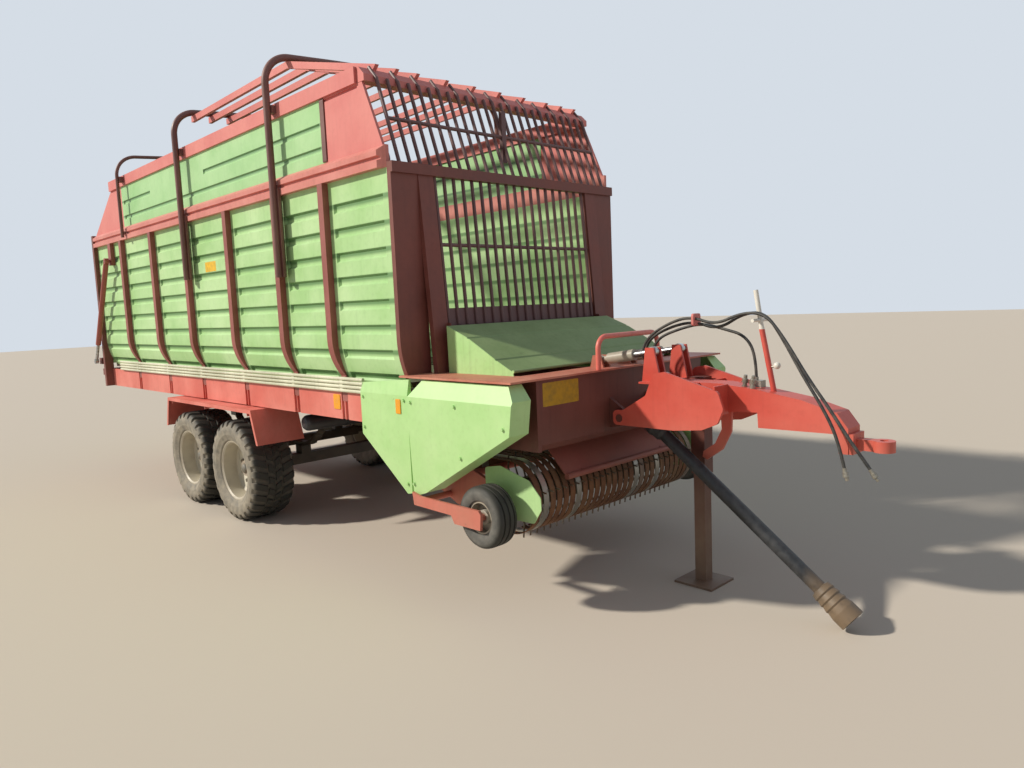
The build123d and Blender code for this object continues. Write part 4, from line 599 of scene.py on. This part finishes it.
# Places on the right-hand side, with X counted forward from the front of the box.
COVER_BOLTS = [
    (0.150, -1.180, 0.735), (0.150, -1.180, 1.285), (0.640, -1.180, 0.965), (1.030, -1.180, 1.180),
    (0.600, -1.180, 1.285), (0.060, -1.166, 0.720), (0.060, -1.166, 1.290), (-0.430, -1.166, 1.070),
    (-0.430, -1.166, 1.290),
]
STANCHION_X = [-0.776, -1.515, -2.436, -3.405, -4.319, -5.287]
FOOT_BOLTS = [(x, -1.100, z) for x in STANCHION_X for z in (1.325, 1.395)]
BOLT_HEIGHT = 0.012
for name, bolts, sides, flat_width, finish in (
        ("cover_bolts", COVER_BOLTS, (1, -1), 0.019, cover_green),
        ("stanchion_foot_bolts", FOOT_BOLTS, (1,), 0.024, zinc_bolt)):
    heads = [bolt_head((BOX_FRONT + x, side * y, z), (0, -side, 0), flat_width, BOLT_HEIGHT)
             for x, y, z in bolts for side in sides]
    surface_piece(name, *together(heads), finish, "wagon")


# Labels, reflectors and rear lamps
# Yellow foil labels left blank, amber reflectors on the right-hand side, and lamps with a red and an amber
# lens on the rear bar. Foil is stuck on, reflectors and lamps are moulded acrylic.
def cushion_block(centre, outward, across, width, height, depth, power):
    """Block with rounded corners and a slightly domed face: rings of a superellipse, where the powers of
    the shares of half width and half height add up to one, stacked along outward and drawn in at the face."""
    outward, across = np.array(outward, float), np.array(across, float)
    up = np.cross(outward, across)
    angle = np.linspace(0, 2 * np.pi, 64, endpoint=False)
    c, s = np.cos(angle), np.sin(angle)
    ring = (np.sign(c) * np.abs(c) ** (2 / power) * width / 2)[:, None] * across \
        + (np.sign(s) * np.abs(s) ** (2 / power) * height / 2)[:, None] * up
    rows = np.array([(0, 0), (0, 1), (0.72, 1), (0.9, 0.985), (0.98, 0.95), (1.0, 0.90), (1.03, 0.5),
                     (1.04, 0)])
    points = (np.array(centre, float) + rows[:, 0][:, None, None] * depth * outward
              + rows[:, 1][:, None, None] * ring[None, :, :])
    return points, grid_faces(len(rows), len(angle), False, True)


def moulded_plastic(name, fresh, bleached, roughness):
    """Moulded plastic or printed foil: bleached and dusty clouds 40 mm wide over the fresh colour."""
    material, tree, shader = new_material(name)
    place = add_node(tree, "ShaderNodeTexCoord", output="Object")
    colour, _, clouds = weather(tree, place, fresh, bleached, 40, 0.4, 0.75)
    tree.links.new(colour, shader.inputs["Base Color"])
    shader.inputs["IOR"].default_value = 1.49
    dull(tree, shader, clouds, roughness, roughness + 0.2)
    return material


yellow_foil = moulded_plastic("weathered_yellow_foil", "#EDBE22", "#C9A640", 0.35)
# The cross box's label foil is painted a darker yellow as the shade it lies in.
shaded_foil = moulded_plastic("yellow_foil_painted_shade", "#B48E1E", "#94782C", 0.4)
amber_lens = moulded_plastic("amber_acrylic", "#F2A41C", "#D99A3A", 0.15)
red_lens = moulded_plastic("red_acrylic", "#B3201C", "#8E332B", 0.15)
black_plastic = moulded_plastic("black_lamp_housing", "#26272A", "#46464A", 0.45)
RIGHT, LEFT, FORWARD, REARWARD = (0, -1, 0), (0, 1, 0), (1, 0, 0), (-1, 0, 0)
WALL_FACE = 1.1499
FOIL_THICK = 0.0012
REFLECTOR_THICK = 0.006
LENS_THICK = 0.018
LAMP_BAR = BOX_FRONT - 6.3995
LENS_BACK = LAMP_BAR - 0.026
LAMP_Y = 1.02
LAMP_Z = 1.265
# Name, middle of the back, way it faces, way its width runs, width, height, thickness, power of the
# superellipse and finish.
flat_pieces = [
    ("cross_box_label", (BOX_FRONT + 1.0499, -0.690, 1.345), FORWARD, LEFT, 0.33, 0.145, FOIL_THICK, 30,
     shaded_foil),
    ("chassis_reflector", (BOX_FRONT - 0.885, -1.1049, 1.215), RIGHT, FORWARD, 0.095, 0.115,
     REFLECTOR_THICK, 12, amber_lens),
    ("cover_reflector", (BOX_FRONT - 0.002, -1.1659, 1.245), RIGHT, FORWARD, 0.055, 0.10,
     REFLECTOR_THICK, 12, amber_lens),
    ("wall_label", (BOX_FRONT - 2.910, -WALL_FACE, 2.372), RIGHT, FORWARD, 0.24, 0.092, FOIL_THICK, 30,
     yellow_foil),
]
for side_name, side in (("right", -1), ("left", 1)):
    housing_middle = (LAMP_BAR, side * LAMP_Y, LAMP_Z)
    red_middle = (LENS_BACK, side * (LAMP_Y - 0.04), LAMP_Z)
    amber_middle = (LENS_BACK, side * (LAMP_Y + 0.076), LAMP_Z)
    flat_pieces += [
        (f"rear_lamp_housing_{side_name}", housing_middle, REARWARD, LEFT, 0.25, 0.074, 0.028, 10,
         black_plastic),
        (f"rear_lamp_red_{side_name}", red_middle, REARWARD, LEFT, 0.15, 0.058, LENS_THICK, 10, red_lens),
        (f"rear_lamp_amber_{side_name}", amber_middle, REARWARD, LEFT, 0.07, 0.058, LENS_THICK, 10,
         amber_lens),
    ]
for name, *shape, finish in flat_pieces:
    surface_piece(name, *cushion_block(*shape), finish, "wagon")

# Strip of painted shade at the slanted front panels
# A flat bar over the joint between the green upper panel and the coral end panel, painted dark as the
# shade there, one on each side, with rounded long edges.
for side_name, side in (("right", -1), ("left", 1)):
    strip = cushion_block((BOX_FRONT - 0.745, WALL_FACE * side, 3.198), (0, side, 0), FORWARD, 0.055, 0.44,
                          0.009, 40)
    surface_piece(f"panel_shade_strip_{side_name}", *strip, bow_and_shade_strip_enamel, "wagon")

# Power shaft
# A telescopic shaft inside a black polyethylene tube with a ribbed cone at each end. The guard is scuffed
# grey, and the tractor end is caked with brown dirt from lying on the ground.
MUD_STARTS = 4.16
MUD_FULL = 4.30
guard, tree, shader = new_material("scuffed_black_polyethylene")
place = add_node(tree, "ShaderNodeTexCoord", output="Object")
along = add_node(tree, "ShaderNodeSeparateXYZ", {"Vector": place}, output="X")
colour, _, scuffs = weather(tree, place, "#1E2023", "#3D3F42", 50, 0.4, 0.75, detail=6.0)
mud = add_node(tree, "ShaderNodeMapRange", {"Value": along, "From Min": MUD_STARTS, "From Max": MUD_FULL})
caked = add_node(tree, "ShaderNodeMapRange", {"Value": scuffs, "From Min": 0.25, "From Max": 0.5,
                                              "To Min": 0.55, "To Max": 1.0})
mud = add_node(tree, "ShaderNodeMath", {0: mud, 1: caked}, operation="MULTIPLY")
colour = add_node(tree, "ShaderNodeMix", {"Factor": mud, "A": colour, "B": linear("#776550")},
                  data_type="RGBA")
tree.links.new(colour, shader.inputs["Base Color"])
shader.inputs["IOR"].default_value = 1.51
dull(tree, shader, scuffs, 0.42, 0.7)
give(guard, "pto_shaft")

# Hydraulic hoses
# Three rubber hoses leave zinc fittings on the drawbar beam. Two lie over the bar of the holder and hang
# down to their couplings, and the lower one ends in a fitting beside the holder's foot. Each is one smooth
# curve.
hose_rubber, tree, shader = new_material("weathered_hose_rubber")
place = add_node(tree, "ShaderNodeTexCoord", output="Object")
colour, _, bloom = weather(tree, place, "#232322", "#5A5853", 70, 0.42, 0.72, detail=6.0)
tree.links.new(colour, shader.inputs["Base Color"])
shader.inputs["IOR"].default_value = 1.52
dull(tree, shader, bloom, 0.45, 0.72)
give(hose_rubber, "hose_long", "hose_middle", "hose_lower")
zinc_fitting = worn_steel("zinc_plated_fitting", "#A9A79E", "#7F7C72", 0.36, rust_share=0.1,
                          dust_share=0.1)
give(zinc_fitting, "hose_fittings", "hose_couplers")
HOSE_DIAMETER = 0.018
HOSE_LONG = [
    (3.1665, -0.075, 1.428), (3.0965, -0.075, 1.525), (3.1465, -0.075, 1.645), (3.3095, -0.075, 1.735),
    (3.4745, -0.078, 1.778), (3.6445, -0.072, 1.722), (3.8145, -0.070, 1.792), (3.9645, -0.075, 1.785),
    (4.0845, -0.095, 1.650), (4.2345, -0.122, 1.430), (4.3645, -0.140, 1.265), (4.4745, -0.150, 1.105),
    (4.5745, -0.148, 0.970),
]
HOSE_MIDDLE = [
    (3.1665, -0.045, 1.428), (3.0965, -0.045, 1.525), (3.1465, -0.045, 1.640), (3.3145, -0.045, 1.715),
    (3.4845, -0.046, 1.745), (3.6495, -0.042, 1.692), (3.8145, -0.042, 1.790), (3.9545, -0.045, 1.788),
    (4.0645, -0.062, 1.640), (4.1945, -0.098, 1.440), (4.3245, -0.128, 1.262), (4.4045, -0.140, 1.110),
    (4.4395, -0.142, 0.960),
]
HOSE_LOWER = [
    (3.1665, 0.045, 1.428), (3.0965, 0.045, 1.525), (3.1465, 0.045, 1.635), (3.3145, 0.046, 1.695),
    (3.4845, 0.045, 1.730), (3.6445, 0.044, 1.690), (3.7695, 0.046, 1.655), (3.8395, 0.048, 1.550),
    (3.8445, 0.048, 1.405),
]


def hose_curve(name, points):
    """Smooth curve through a hose's control points, as round as the hose, riding on the drawbar."""
    data = bpy.data.curves.new(name, "CURVE")
    data.dimensions = "3D"
    data.resolution_u = 12
    data.bevel_depth = HOSE_DIAMETER / 2
    data.bevel_resolution = 5
    data.use_fill_caps = True
    line = data.splines.new("NURBS")
    line.points.add(len(points) - 1)
    line.points.foreach_set("co", [value for point in points for value in (*point, 1.0)])
    line.order_u = 3
    line.use_endpoint_u = True
    data.materials.append(hose_rubber)
    hose = bpy.data.objects.new(name, data)
    bpy.context.scene.collection.objects.link(hose)
    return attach(hose, "hitch")


# Outlines of a quick coupling as (distance from the hose's end, radius): crimped sleeve, hexagon, then the
# sliding collar and the nose.
SLEEVE = [(0, 0.0), (0, 0.0115), (0.003, 0.012), (0.006, 0.0112), (0.009, 0.012), (0.012, 0.0112),
          (0.015, 0.012), (0.022, 0.012), (0.022, 0.0)]
HEXAGON = [(0.022, 0.0), (0.022, 0.0125), (0.023, 0.0132), (0.033, 0.0132), (0.034, 0.0125), (0.034, 0.0)]
COLLAR = [(0.034, 0.0), (0.034, 0.0155), (0.036, 0.016), (0.048, 0.016), (0.050, 0.0145), (0.050, 0.010),
          (0.052, 0.0098), (0.066, 0.0098), (0.069, 0.008), (0.070, 0.0)]


def coupling(name, points):
    """Quick coupling on a hose's last point, its outlines turned round the line of the last two points."""
    last = Vector(points[-1])
    axis = last - Vector(points[-2])
    shapes = [turned_surface(SLEEVE, last, axis, 32), turned_surface(HEXAGON, last, axis, 24, flats=6),
              turned_surface(COLLAR, last, axis, 32)]
    return surface_piece(name, *together(shapes), zinc_fitting, "hitch")


coupling_long = coupling("coupling_long", HOSE_LONG)
coupling_middle = coupling("coupling_middle", HOSE_MIDDLE)
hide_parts("hose_couplers")
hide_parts("hose_couplers")
hose_long = hose_curve("pressure_hose_long", HOSE_LONG)
hose_middle = hose_curve("pressure_hose_middle", HOSE_MIDDLE)
hose_lower = hose_curve("pressure_hose_lower", HOSE_LOWER)
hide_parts("hose_long")
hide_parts("hose_middle")
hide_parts("hose_lower")

# Hose clamp, parking couplings and tap knob
# A painted clamp holds the two pressure hoses between beam and holder. Beside the holder's foot stand two
# zinc couplings for parked hoses, and a white ball knob sits on the tap lever in front of the post.
clamp = cushion_block((BOX_FRONT + 1.612, -0.060, 1.757), FORWARD, LEFT, 0.085, 0.075, 0.016, 6)
surface_piece("hose_clamp", *clamp, coral, "hitch")
# Outline of a parking coupling as (height, radius).
PARKED = [(0, 0.0), (0, 0.017), (0.012, 0.017), (0.014, 0.013), (0.030, 0.013), (0.032, 0.018),
          (0.052, 0.018), (0.055, 0.016), (0.057, 0.011), (0.074, 0.011), (0.078, 0.008), (0.078, 0.0)]
BEAM_SLOPE = (0.12, 0.0, 1.0)
parked = [turned_surface(PARKED, (BOX_FRONT + x, y, 1.347), BEAM_SLOPE, 32)
          for x, y in ((1.925, -0.032), (1.985, -0.050))]
surface_piece("parking_couplings", *together(parked), zinc_fitting, "hitch")
LEVER_START = (BOX_FRONT + 2.066, 0.0, 1.468)
LEVER_AXIS = (1.0, 0.0, 0.25)
LEVER_LENGTH = 0.040
LEVER_RADIUS = 0.006
KNOB_MIDDLE = 0.050
KNOB_RADIUS = 0.020
lever = turned_surface([(0, 0.0), (0, LEVER_RADIUS), (LEVER_LENGTH, LEVER_RADIUS), (LEVER_LENGTH, 0.0)],
                       LEVER_START, LEVER_AXIS, 24)
surface_piece("tap_lever", *lever, zinc_fitting, "hitch")
white_plastic = moulded_plastic("white_knob_plastic", "#E6E4DC", "#C9C5B8", 0.3)
turn = np.linspace(0, math.pi, 17)
ball = np.stack([KNOB_MIDDLE - KNOB_RADIUS * np.cos(turn), KNOB_RADIUS * np.sin(turn)], axis=-1)
knob = turned_surface(ball, LEVER_START, LEVER_AXIS, 32)
surface_piece("tap_knob", *knob, white_plastic, "hitch", sharp=60.0)
